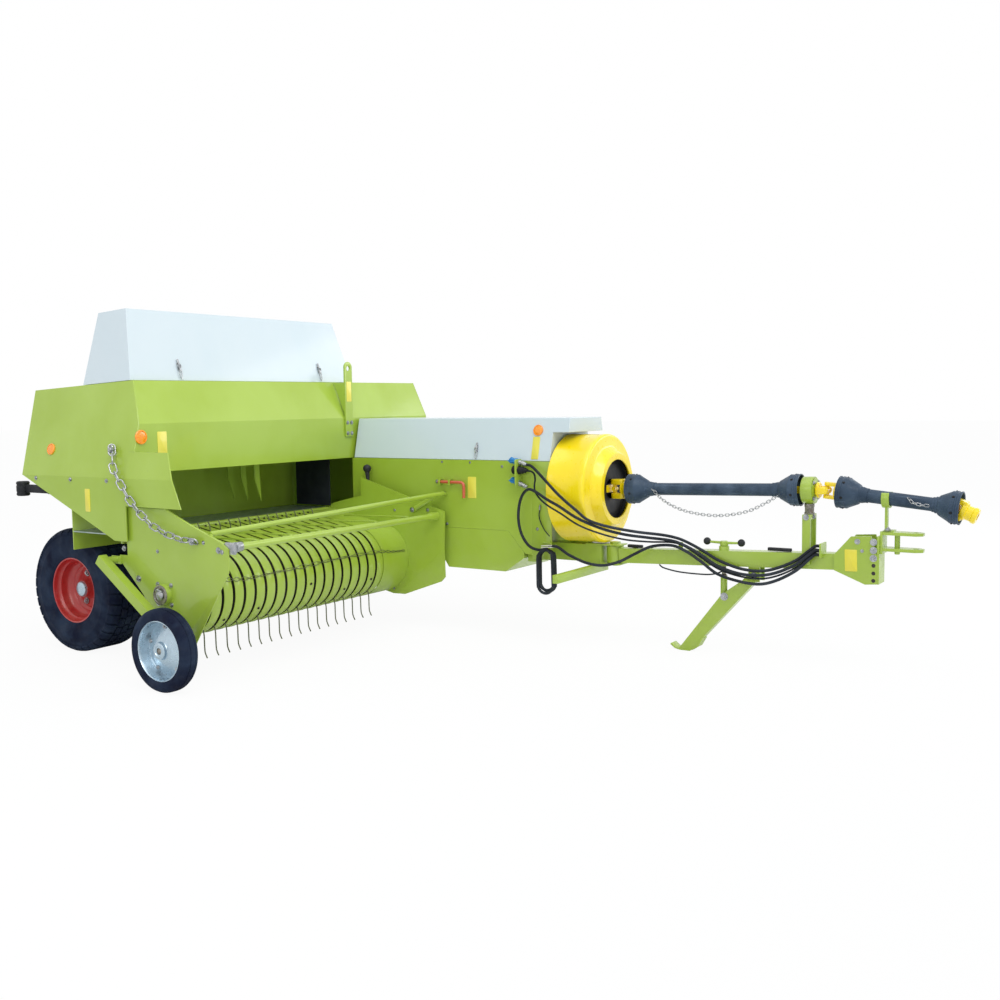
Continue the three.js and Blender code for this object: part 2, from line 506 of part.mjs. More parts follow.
// The open strap that the front shaft rests in, standing on the clevis.
function shaftStrap() {
  const x = 2400;
  const z = SHAFT2.z + SHAFT2.slope * (x - SHAFT2.x);
  const strap = AXIS_X(ring(39, 47, -18, 18, 24)).translate(x, LINE_Y, z);
  const open = box(x - 40, x + 40, LINE_Y - 36, LINE_Y + 36, z, z + 80);
  const stem = box(x - 6, x + 6, LINE_Y - 14, LINE_Y + 14, 690, z - 41);
  const sole = box(x - 8, x + 40, LINE_Y - 24, LINE_Y + 24, 690, 706);
  return join(cut(strap, open), stem, sole);
}
{
  // Two cheeks round the beam's end and a front plate with rows of holes.
  const outline = [[2161, 575], [2243, 669], [2339, 675], [2370, 576], [2370, 441], [2314, 436], [2162, 497]];
  const cheeks = [-1, 1].map((side) => prismY(outline, LINE_Y + side * 46.5 - 6, LINE_Y + side * 46.5 + 6));
  const plate = box(2368, 2380, LINE_Y - 52, LINE_Y + 52, 441, 676);
  add("hitch_head", join(...cheeks, plate), GREEN);
  const foot = box(2380 + GAP, 2392, LINE_Y - 45, LINE_Y + 45, 590, 700);
  const prongs = [[604, 619], [683, 697]].map(([z0, z1]) => {
    const tongue = prismZ([[2390, LINE_Y - 40], [2545, LINE_Y - 40], [2575, LINE_Y - 18], [2575, LINE_Y + 18], [2545, LINE_Y + 40], [2390, LINE_Y + 40]], z0, z1);
    return tongue;
  });
  const eye = AXIS_Z(new THREE.CylinderGeometry(15, 15, 200, 24)).translate(2540, LINE_Y, 650);
  add("hitch_clevis", join(cut(join(foot, ...prongs), eye), shaftStrap()), GREEN);
}
{
  // Parking stand: a channel on a cross pin under the tongue, held by an upright screw, on a curved runner.
  const pin = [1745, 438];
  const outline = [
    [1321, 8], [1343, 36], [1565, 323], [1597, 346], [1675, 403], [1725, 455], [1768, 425], [1732, 383], [1458, 78],
    [1430, 30], [1400, 6],
  ];
  const screwRoom = prismY([[1495, 134], [1680, 340], [1680, 480], [1495, 480]], LINE_Y - 21, LINE_Y + 21);
  const leg = cut(prismY(outline, LINE_Y - 28, LINE_Y + 28), screwRoom);
  const eyeBlock = rod([pin[0], LINE_Y - 30.5, pin[1]], [pin[0], LINE_Y + 30.5, pin[1]], 24, 24);
  const runner = prismY([
    [1272, 26], [1300, 6], [1328, 0], [1385, 0], [1432, 26], [1460, 74], [1452, 79], [1425, 34], [1383, 8], [1330, 8],
    [1304, 13], [1278, 33],
  ], LINE_Y - 32, LINE_Y + 32);
  add("stand_leg", join(leg, eyeBlock, runner), GREEN);
  const screw = rod([JACK.x, LINE_Y, 420], [JACK.x, LINE_Y, JACK.hubZ], 12, 12);
  const sleeve = rod([JACK.x, LINE_Y, JACK.lowZ], [JACK.x, LINE_Y, 425], 18, 20);
  const bar = rod([JACK.x - 95, LINE_Y, JACK.hubZ], [JACK.x + 95, LINE_Y, JACK.hubZ], 6, 8);
  const balls = [-95, 95].map((dx) => new THREE.SphereGeometry(15, 10, 6).translate(JACK.x + dx, LINE_Y, JACK.hubZ + 4));
  const hub = rod([JACK.x, LINE_Y, JACK.hubZ - 16], [JACK.x, LINE_Y, JACK.hubZ + 10], 22, 12);
  add("jack_screw", join(screw, sleeve, bar, hub, ...balls), STEEL);
}

// ---------------------------------------------------------------- drive shafts
const shaft1Z = (x) => SHAFT1.z + SHAFT1.slope * (x - SHAFT1.x);

// Pieces of a shaft are drawn along X from its first universal joint, then turned to its slope.
function addOnShaft(name, shaft, geometry, material) {
  const mesh = add(name, geometry, material, [shaft.x, LINE_Y, shaft.z]);
  mesh.rotation.y = -Math.atan(shaft.slope);
}
function guardCone(from, to, wide, narrow) {
  const outer = [[0, from], [wide, from], [wide, from + (to - from) * 0.35], [narrow, to], [0, to]];
  const wall = 6;
  const inner = [
    [0, from - (to - from) * 0.1], [wide - wall, from - (to - from) * 0.1], [wide - wall, from + (to - from) * 0.33],
    [narrow - wall, to - (to - from) * 0.02], [narrow - wall, to + (to - from) * 0.1], [0, to + (to - from) * 0.1],
  ];
  const ordered = (profile) => (to > from ? profile : profile.slice().reverse());
  return cut(lathe(ordered(outer), 16), lathe(ordered(inner), 16));
}
const yokeEars = (from, to, across) => [-1, 1].map((side) =>
  across === "y" ? box(from, to, side * 35 - 7, side * 35 + 7, -18, 18) : box(from, to, -18, 18, side * 35 - 7, side * 35 + 7));
{
  const length = SHAFT1.bearing - SHAFT1.x;
  const tubeGuard = ring(27, 33, 235, length - 170, 16);
  const guard = AXIS_X(join(tubeGuard, guardCone(92, 250, 82, 33), guardCone(length - 40, length - 190, 82, 33)));
  addOnShaft("pto_guard_rear", SHAFT1, guard, GUARD_BLACK);
  const core = AXIS_X(new THREE.CylinderGeometry(20, 20, length - 60, 20)).translate(length / 2 + 28, 0, 0);
  const hub = box(50, 66, -34, 34, -42, 42);
  const cross = box(-12, 12, -26, 26, -12, 12);
  const crossUp = box(-12, 12, -12, 12, -34, 34);
  const stub = AXIS_X(new THREE.CylinderGeometry(29, 29, 90, 32)).translate(length + 4, 0, 0);
  const front = box(length + 40, length + 52, -42, 42, -22, 22);
  addOnShaft("pto_shaft_rear", SHAFT1, join(core, hub, cross, crossUp, stub, front, ...yokeEars(-16, 60, "z"),
    ...yokeEars(length + 44, length + 104, "y")), YELLOW);
  const ringZ = shaft1Z(SHAFT1.bearing);
  const bearing = AXIS_X(ring(30, 68, -28, 28, 32)).rotateY(-Math.atan(SHAFT1.slope)).translate(SHAFT1.bearing, LINE_Y, ringZ);
  const post = box(SHAFT1.bearing - 14, SHAFT1.bearing + 14, LINE_Y - 14, LINE_Y + 14, 745, ringZ - 60);
  const crown = box(SHAFT1.bearing - 20, SHAFT1.bearing + 20, LINE_Y - 53, LINE_Y + 53, 742, 766);
  const base = tongueZ(SHAFT1.bearing) + 42 + GAP;
  const legs = [-1, 1].map((side) => box(SHAFT1.bearing - 20, SHAFT1.bearing + 20, LINE_Y + side * 47 - 6, LINE_Y + side * 47 + 6, base - 60, 744));
  add("pto_bearing_stand", join(bearing, post, crown, ...legs), GREEN);
}
{
  const length = SHAFT2.end - SHAFT2.x;
  const tubeGuard = ring(27, 33, 190, length - 60, 16);
  const guard = AXIS_X(join(tubeGuard, guardCone(58, 205, 80, 33), guardCone(length + 30, length - 100, 80, 33)));
  addOnShaft("pto_guard_front", SHAFT2, guard, GUARD_BLACK);
  const core = AXIS_X(new THREE.CylinderGeometry(20, 20, length - 90, 20)).translate(length / 2 + 5, 0, 0);
  const hub = box(44, 56, -34, 34, -42, 42);
  const cross = box(-12, 12, -26, 26, -12, 12);
  const crossUp = box(-12, 12, -12, 12, -34, 34);
  const front = box(length - 52, length - 40, -42, 42, -22, 22);
  const collar = rod([length, 0, 0], [length + 106, 0, -30], 30, 24);
  const endCross = box(length - 14, length + 14, -34, 34, -14, 14);
  addOnShaft("pto_shaft_front", SHAFT2, join(core, hub, cross, crossUp, front, endCross, collar, ...yokeEars(-16, 50, "z"),
    ...yokeEars(length - 48, length + 16, "y")), YELLOW);
}

// ---------------------------------------------------------------- pickup
// A corner of a side plate, bent out of its plane. The first two points lie on the fold, the third moves by outward.
function bentCorner(outline, y0, outward) {
  const corner = prismY(outline, y0, y0 + SHEET);
  const place = corner.getAttribute("position");
  const [[ax, az], [bx, bz], [cx, cz]] = outline;
  const fromFold = (x, z) => (bx - ax) * (z - az) - (bz - az) * (x - ax);
  for (let i = 0; i < place.count; i += 1) {
    const share = fromFold(place.getX(i), place.getZ(i)) / fromFold(cx, cz);
    place.setY(i, place.getY(i) + outward * share);
  }
  return corner;
}
{
  const outline = [
    [-840, 850], [-560, 850], [-387, 782], [-173, 707], [-125, 677], [-130, 567], [-454, 210],
    [-552, 232], [-695, 373], [-914, 588], [-905, 606], [-846, 606], [-846, 678], [-955, 678], [-955, 718], [-840, 770],
  ];
  const plate = prismY(outline, PLATE_RIGHT_Y, PLATE_RIGHT_Y + SHEET);
  const shaftHole = rod([REEL.x, -1200, REEL.z], [REEL.x, -1000, REEL.z], 26, 24);
  const housing = rod([REEL.x, PLATE_RIGHT_Y - 28, REEL.z], [REEL.x, PLATE_RIGHT_Y + 1, REEL.z], 52, 32);
  const corner = bentCorner([[-454.9, 210.8], [-130.9, 567.8], [-365, 192], [-430, 205]], PLATE_RIGHT_Y, -14);
  add("pickup_plate_right", cut(join(plate, corner, housing), shaftHole), GREEN);
}
{
  const outline = [
    [-665, 904], [-37, 717], [-44, 500], [-390, 205.5], [-430, 205],
    [-552, 232], [-695, 373], [-914, 588], [-905, 606], [-846, 606], [-846, 678], [-955, 678], [-955, 718], [-840, 750], [-665, 790],
  ];
  const plate = prismY(outline, PLATE_LEFT_Y - SHEET, PLATE_LEFT_Y);
  const shaftHole = rod([REEL.x, 300, REEL.z], [REEL.x, 600, REEL.z], 26, 24);
  const corner = bentCorner(
    [[-390.8, 206.4], [-44.8, 500.9], [-50, 330], [-80, 300], [-343, 206]], PLATE_LEFT_Y - SHEET, 15,
  );
  add("pickup_plate_left", cut(join(plate, corner), shaftHole), GREEN);
}
const INNER_RIGHT = PLATE_RIGHT_Y + SHEET + GAP;
const INNER_LEFT = PLATE_LEFT_Y - SHEET - GAP;

// The stripper's side profile: flat top from the feeder floor, round nose, short flat underside.
function bandProfile(thickness) {
  const arc = (radius, from, to, count) => {
    const points = [];
    for (let i = 0; i <= count; i += 1) {
      const angle = ((from + ((to - from) * i) / count) * Math.PI) / 180;
      points.push([NOSE.x + radius * Math.cos(angle), NOSE.z + radius * Math.sin(angle)]);
    }
    return points;
  };
  const inner = NOSE.r - thickness;
  return [
    [-888, 704], ...arc(NOSE.r, 78, -90, 7), [-660, NOSE.z - NOSE.r],
    [-660, NOSE.z - inner], ...arc(inner, -90, 78, 7), [-888, 704 - thickness * 1.02],
  ];
}
{
  const width = 55;
  const bands = [];
  for (let k = 0; k <= REEL.tines; k += 1) {
    const middle = REEL.firstY + (k - 0.5) * REEL.pitch;
    const y0 = Math.max(middle - width / 2, INNER_RIGHT);
    bands.push(prismY(bandProfile(SHEET), y0, middle + width / 2));
  }
  // The sill behind the bands is welded to the hinge tube; a smooth shell closes the left end.
  const sill = box(-903, -887, INNER_RIGHT, INNER_LEFT, 660, 704);
  const hingeTube = rod([HINGE.x, INNER_RIGHT, HINGE.z], [HINGE.x, INNER_LEFT, HINGE.z], 15, 12);
  const webs = [INNER_RIGHT + 4, -500, 100, INNER_LEFT - 10].map((y) => box(HINGE.x, -895, y, y + 6, 686, 703));
  const shellStart = REEL.firstY + (REEL.tines - 0.5) * REEL.pitch + width / 2;
  const shell = prismY(bandProfile(SHEET), shellStart, INNER_LEFT);
  add("stripper_bands", join(sill, hingeTube, ...webs, ...bands, shell), GREEN);
}
{
  // Tined reel: a shaft, end discs and four bars, each with a row of sprung tines.
  const shaft = rod([0, PLATE_RIGHT_Y - 24, 0], [0, PLATE_LEFT_Y + 10, 0], 25, 24);
  const spiders = [-1098, -460, 205].map((y) => ring(20, REEL.bar + 8, y, y + 8, 24));
  const tinePath = [[0, 0], [48, -76], [48, -176], [65, -201]];
  const barAt = [159, -103];
  const bars = [];
  for (let row = 0; row < 4; row += 1) {
    const turn = (row * Math.PI) / 2;
    const pieces = [rod([barAt[0], -1095, barAt[1]], [barAt[0], 210, barAt[1]], 9, 8)];
    for (let k = 0; k < REEL.tines; k += 1) {
      const y = REEL.firstY + k * REEL.pitch;
      pieces.push(prismY(strip(tinePath, 6), y - 3, y + 3).translate(barAt[0], 0, barAt[1]));
    }
    bars.push(...pieces.map((piece) => piece.rotateY(-turn)));
  }
  add("tined_reel", join(shaft, ...spiders, ...bars), STEEL, [REEL.x, 0, REEL.z]);
}
{
  const { x, z, radius } = FRONT_TUBE;
  const along = rod([x, INNER_RIGHT + 4, z], [x, INNER_LEFT, z], radius, 16);
  const socket = rod([x, INNER_LEFT - 70, z], [x, INNER_LEFT, z], radius + 7, 16);
  const clamp = box(x - 70, x + 17, INNER_RIGHT, INNER_RIGHT + 14, 655, 712);
  // Crop rods trail from the tube over the bands, each between two planes of tines.
  const rods = FRONT_TUBE.rodsAt.map((k) => {
    const y = REEL.firstY + k * REEL.pitch;
    return rod([x + 5, y, z + 19], [x - 480, y, z + 8], 5, 6);
  });
  add("pickup_front_tube", join(along, socket, clamp, ...rods), GREEN);
}
const WINDGUARD = { x: -257, z: 721 };
{
  const right = [-262, INNER_RIGHT + 12, 742];
  const left = [-70, INNER_LEFT - 14, 818];
  const bar = rod(right, left, 14, 12);
  const arm = rod(left, [WINDGUARD.x, INNER_LEFT - 14, WINDGUARD.z], 12, 10);
  const pinLeft = rod([WINDGUARD.x, INNER_LEFT - 24, WINDGUARD.z], [WINDGUARD.x, INNER_LEFT - 1, WINDGUARD.z], 11, 12);
  const pinRight = rod([WINDGUARD.x, INNER_RIGHT + 1, WINDGUARD.z], [WINDGUARD.x, INNER_RIGHT + 20, WINDGUARD.z], 11, 12);
  const link = rod([WINDGUARD.x, INNER_RIGHT + 12, WINDGUARD.z], right, 12, 10);
  const knob = new THREE.SphereGeometry(14, 8, 6).translate(...left);
  add("windguard", join(bar, arm, pinLeft, pinRight, link, knob), GREEN);
}
{
  const y0 = -1236;
  const y1 = -1190;
  const arm = barXZ(y0, y1, [-950, 592], [GAUGE.x + 10, GAUGE.z + 5], 50);
  const stub = rod([-930, y1 - 10, 580], [-930, PLATE_RIGHT_Y - 6, 580], 20, 20);
  const ear = box(-960, -890, PLATE_RIGHT_Y - 8, PLATE_RIGHT_Y - GAP, 560, 600);
  const spindle = rod([GAUGE.x, y1 - 4, GAUGE.z], [GAUGE.x, GAUGE.y0 + 20, GAUGE.z], 15, 24);
  const boss = rod([GAUGE.x, y0, GAUGE.z], [GAUGE.x, y1, GAUGE.z], 32, 24);
  add("gauge_arm", join(arm, stub, ear, boss, spindle), GREEN);
  const half = (GAUGE.y1 - GAUGE.y0) / 2;
  const middle = (GAUGE.y1 + GAUGE.y0) / 2;
  const tyre = lathe([
    [GAUGE.bead + GAP, -half + 8], [GAUGE.bead + 20, -half], [GAUGE.r - 16, -half + 6], [GAUGE.r, -half + 24],
    [GAUGE.r, half - 24], [GAUGE.r - 16, half - 6], [GAUGE.bead + 20, half], [GAUGE.bead + GAP, half - 8], [GAUGE.bead + GAP, -half + 8],
  ], 28);
  add("gauge_tyre", tyre, TYRE_BLACK, [GAUGE.x, middle, GAUGE.z]);
  const rim = ring(132, GAUGE.bead, -36, 36, 28);
  const disc = ring(30, 136, -3, 3, 28);
  const hub = ring(15.5, 40, -36, 30, 20);
  add("gauge_rim", join(rim, disc, hub), STEEL, [GAUGE.x, middle, GAUGE.z]);
}

// ---------------------------------------------------------------- small fittings
for (const [name, side, y] of [["right", -1, -985], ["left", 1, 1165]]) {
  const lamp = rod([-1905, y, 860], [-1905, y, 942], 36, 24);
  const arm = box(-1880, HOOD.rear + 40, y - 8, y + 8, 880, 925);
  const foot = box(HOOD.rear + 20, HOOD.rear + 60, y - 30, y + 30, 880, HOOD.rearLow - GAP);
  add(`tail_lamp_${name}`, join(lamp, arm, foot), RUBBER);
}
// A plate on the housing that parks the two couplings and the plug of the lighting cable.
const PARKED = { upper: [513, 499, 1000], plug: [520, 497, 966], lower: [515, 499, 875] };
add("hose_holder", join(
  box(455, 463, 462, CHAMBER.y0 - SHEET - GAP * 2, 880, 1030),
  rod([402, 499, 1026], PARKED.upper, 14, 16),
  rod([448, 497, 971], PARKED.plug, 22, 16),
  rod([412, 499, 915], PARKED.lower, 14, 16),
), GREEN);
add("twine_box", box(-1130, -820, CHAMBER.y1 + 12, HOOD.left - 30, 660, HOOD.rearLow - 8), GREEN);


// ---------------------------------------------------------------- hoses, cable and chain
// Routes are hand-placed, from the parked coupling over the drum, through the clip, to the tongue's bracket.
const HOSE_R = 8;
const routes = [
  ["hose_upper", HOSE_R, [
    [513.4, 499, 999.9], [543, 498, 993], [600, 470, 963], [678, 438, 911], [764, 430, 838], [858, 440, 764], [922, 458, 713],
    [1016, 505, 678], [1137, 590, 648], [1250, 676, 628], [1322, 706, 612], [1380, 712, 592], [1466, 708, 555], [1560, 704, 508],
    [1680, 700, 473], [1790, 698, 468], [1880, 698, 490], [1975, 700, 535], [2036, 700, 584], [2070, 710, 611], [2095, 712, 612],
  ]],
  ["hose_loop", HOSE_R, [
    [652, 476, 545], [600, 482, 530], [536, 480, 548], [487, 480, 610], [468, 478, 690], [474, 476, 770], [500, 470, 832],
    [545, 458, 866], [600, 442, 858], [680, 428, 820], [760, 424, 784], [866, 440, 722], [975, 498, 668], [1078, 568, 633],
    [1180, 650, 612], [1300, 690, 598], [1380, 698, 572], [1466, 694, 532], [1560, 690, 480], [1680, 688, 448],
    [1790, 686, 447], [1880, 686, 468], [1975, 686, 514], [2036, 686, 563], [2070, 696, 592], [2095, 698, 593],
  ]],
  ["hose_lower", HOSE_R, [
    [668, 470, 556], [724, 466, 556], [800, 460, 518], [898, 472, 480], [978, 512, 466], [1050, 566, 484], [1116, 626, 524],
    [1190, 676, 562], [1300, 692, 572], [1380, 694, 546], [1466, 690, 498], [1560, 688, 438], [1680, 686, 408], [1790, 684, 402],
    [1880, 684, 428], [1975, 684, 482], [2036, 686, 538], [2070, 698, 569], [2095, 700, 570],
  ]],
  ["light_cable", 5, [
    [520.4, 497, 966], [545, 496, 963], [566, 490, 950], [577, 482, 922], [577, 474, 892], [588, 462, 856], [625, 448, 820],
    [680, 436, 786], [760, 436, 746], [866, 452, 684], [975, 508, 636], [1078, 578, 604], [1180, 664, 588], [1300, 708, 586],
    [1380, 712, 562], [1466, 706, 514], [1560, 704, 462], [1680, 700, 432], [1790, 698, 428], [1880, 698, 450], [1975, 700, 498],
    [2036, 702, 548], [2070, 713, 582], [2095, 715, 583],
  ]],
];
for (const [name, radius, points] of routes) add(name, tube(points, radius, 8, 19), RUBBER);
{
  const { x, half, low, high } = HANK;
  const round = (centre, from) => [0, 36, 72, 108, 144, 180].map((step) => {
    const angle = ((from + step) * Math.PI) / 180;
    return [x + half * Math.cos(angle), centre + half * Math.sin(angle)];
  });
  const outline = [...round(high - half, 0), ...round(low + half, 180)];
  add("hose_hank", prismY(outline, HANK.y - HANK.thick / 2, HANK.y + HANK.thick / 2), RUBBER);
}
// A lift chain of welded links, each turned a quarter from the last, between its two bolts.
const CHAIN = { links: 16, long: 62, wide: 32, wire: 7.6 };
function chainLink() {
  const ringOf = (long, wide, corner) => {
    const quarter = [[long / 2, wide / 2 - corner], [long / 2 - corner, wide / 2]];
    const half = [...quarter, ...quarter.map(([x, z]) => [-x, z]).reverse()];
    return [...half, ...half.map(([x, z]) => [-x, -z])];
  };
  const shape = shapeOf(ringOf(CHAIN.long, CHAIN.wide, 10));
  shape.holes.push(new THREE.Path(
    ringOf(CHAIN.long - 2 * CHAIN.wire, CHAIN.wide - 2 * CHAIN.wire, 6).map(([x, z]) => new THREE.Vector2(x, z)),
  ));
  return new THREE.ExtrudeGeometry(shape, { depth: CHAIN.wire, bevelEnabled: false }).translate(0, 0, -CHAIN.wire / 2);
}
{
  const route = new THREE.CatmullRomCurve3([
    [-924, -1138, 1136], [-906, -1152, 1090], [-879, -1168, 1037], [-808, -1174, 950], [-745, -1174, 877], [-653, -1171, 802],
    [-561, -1166, 752], [-446, -1158, 718], [-341, -1152, 708],
  ].map((p) => new THREE.Vector3(...p)));
  const links = [];
  for (let i = 0; i < CHAIN.links; i += 1) {
    const share = (i + 0.5) / CHAIN.links;
    const along = route.getTangentAt(share);
    const across = new THREE.Vector3(0, 1, 0).cross(along).normalize();
    const out = along.clone().cross(across);
    const turned = i % 2 === 0 ? [along, across, out] : [along, out, across.clone().negate()];
    links.push(chainLink()
      .applyMatrix4(new THREE.Matrix4().makeBasis(...turned).setPosition(route.getPointAt(share))));
  }
  const boltTop = rod([-924, -1119.2, 1136], [-924, -1144, 1136], 7, 10);
  const boltLow = rod([-341, PLATE_RIGHT_Y - GAP, 708], [-341, -1158, 708], 7, 10);
  add("pickup_chain", join(...links, boltTop, boltLow), STEEL);
}

export default part;
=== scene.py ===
"""Square baler: the finishes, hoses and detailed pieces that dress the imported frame.

Every length is written in millimetres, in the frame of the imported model, and becomes metres in a mesh.
+X points forward to the tractor, +Y to the machine's left and +Z up.
"""

from __future__ import annotations

import json
import logging
import math
from dataclasses import dataclass, field
from enum import Enum
from typing import Any, Iterable, Sequence

import bmesh
import bpy
from mathutils import Matrix, Vector
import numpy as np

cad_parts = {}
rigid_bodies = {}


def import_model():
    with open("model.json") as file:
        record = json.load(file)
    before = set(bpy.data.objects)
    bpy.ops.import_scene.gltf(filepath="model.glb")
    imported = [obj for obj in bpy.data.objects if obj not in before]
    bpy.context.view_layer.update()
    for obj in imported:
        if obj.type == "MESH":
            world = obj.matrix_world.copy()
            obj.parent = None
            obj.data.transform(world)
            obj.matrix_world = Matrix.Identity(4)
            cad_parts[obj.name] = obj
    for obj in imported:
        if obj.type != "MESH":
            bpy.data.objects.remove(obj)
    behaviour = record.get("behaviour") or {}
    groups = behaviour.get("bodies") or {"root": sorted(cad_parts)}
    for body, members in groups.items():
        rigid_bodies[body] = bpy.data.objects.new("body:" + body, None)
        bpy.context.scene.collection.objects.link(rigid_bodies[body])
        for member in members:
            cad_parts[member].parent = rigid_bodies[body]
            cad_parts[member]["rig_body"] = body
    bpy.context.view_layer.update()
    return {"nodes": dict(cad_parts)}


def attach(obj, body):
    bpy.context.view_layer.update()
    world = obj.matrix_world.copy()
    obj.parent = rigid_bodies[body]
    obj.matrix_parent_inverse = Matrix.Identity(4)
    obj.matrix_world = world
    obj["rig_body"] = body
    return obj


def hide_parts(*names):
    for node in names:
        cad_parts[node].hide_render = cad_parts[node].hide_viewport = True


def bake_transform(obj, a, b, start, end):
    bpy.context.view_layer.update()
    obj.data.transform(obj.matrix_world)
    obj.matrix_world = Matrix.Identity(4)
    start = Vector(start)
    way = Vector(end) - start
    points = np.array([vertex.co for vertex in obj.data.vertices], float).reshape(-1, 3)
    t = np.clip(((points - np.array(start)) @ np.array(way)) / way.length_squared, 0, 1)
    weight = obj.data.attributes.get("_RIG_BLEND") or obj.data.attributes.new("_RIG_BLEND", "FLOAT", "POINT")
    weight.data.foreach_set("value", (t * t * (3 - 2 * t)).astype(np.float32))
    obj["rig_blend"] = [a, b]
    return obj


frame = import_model()

LOG = logging.getLogger("baler")

MM = 0.001
Triple = tuple[float, float, float]
Pair = tuple[float, float]
Point = Sequence[float]
Colour = tuple[float, float, float]
Verts = list[bmesh.types.BMVert]

LINE_Y = 765.0  # centre line of chamber, flywheel and tongue
SMOOTH_ANGLE = math.radians(38)
AHEAD, LEFT, RIGHT, UP = (1, 0, 0), (0, 1, 0), (0, -1, 0), (0, 0, 1)


class Axis(Enum):
    """The axis that a prism is drawn along or a profile is turned about."""

    X = 0
    Y = 1
    Z = 2


class Body(Enum):
    """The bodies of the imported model."""

    CHASSIS = "chassis"
    WHEEL_RIGHT = "wheel_right"
    WHEEL_LEFT = "wheel_left"
    PICKUP = "pickup"
    REEL = "reel"
    GAUGE_WHEEL = "gauge_wheel"
    WINDGUARD = "windguard_bar"
    TOP_LID = "top_lid"
    FRONT_LID = "front_lid"
    FLYWHEEL = "flywheel_rotor"
    FEEDER = "feeder"
    TONGUE = "tongue"
    STAND = "stand"
    JACK = "jack"
    REAR_SHAFT = "rear_shaft"
    FRONT_GUARD = "front_guard"
    FRONT_SHAFT = "front_shaft"


def metres(point: Point) -> Triple:
    """A point in millimetres, in metres."""
    return (point[0] * MM, point[1] * MM, point[2] * MM)


def linear(red: int, green: int, blue: int) -> Colour:
    """The linear colour of an sRGB colour given as three bytes."""

    def channel(byte: int) -> float:
        value = byte / 255
        return value / 12.92 if value <= 0.04045 else ((value + 0.055) / 1.055) ** 2.4

    return (channel(red), channel(green), channel(blue))


def body_of_node(node: str) -> Body:
    """The body that a CAD node rides on."""
    return Body(frame["nodes"][node]["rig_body"])


def linked(name: str, data: Any) -> bpy.types.Object:
    """A new object for a mesh, lamp or camera, in the scene."""
    made = bpy.data.objects.new(name, data)
    bpy.context.scene.collection.objects.link(made)
    return made


# ---------------------------------------------------------------- node trees


class Nodes:
    """A node tree under construction."""

    def __init__(self, tree: bpy.types.NodeTree) -> None:
        """Starts with an empty tree.

        Args:
            tree: the tree, whose nodes are removed.
        """
        self.tree = tree
        tree.nodes.clear()

    def feed(self, socket: bpy.types.NodeSocket, value: Any) -> None:
        """Links another node's socket to an input, or sets the input's value."""
        if isinstance(value, bpy.types.NodeSocket):
            self.tree.links.new(value, socket)
        else:
            socket.default_value = value

    def node(self, kind: str, inputs: dict[Any, Any] | None = None, **settings: Any) -> Any:
        """Adds a node.

        Args:
            kind: the node's type.
            inputs: sockets or values by the name or number of the input that they go to.
            settings: properties of the node.

        Returns:
            The node.
        """
        node = self.tree.nodes.new(kind)
        for name, value in settings.items():
            setattr(node, name, value)
        for name, value in (inputs or {}).items():
            self.feed(node.inputs[name], value)
        return node

    def first(
        self, kind: str, inputs: dict[Any, Any] | None = None, **settings: Any,
    ) -> bpy.types.NodeSocket:
        """Adds a node as node() does, and gives its first output."""
        return self.node(kind, inputs, **settings).outputs[0]


# ---------------------------------------------------------------- finishes


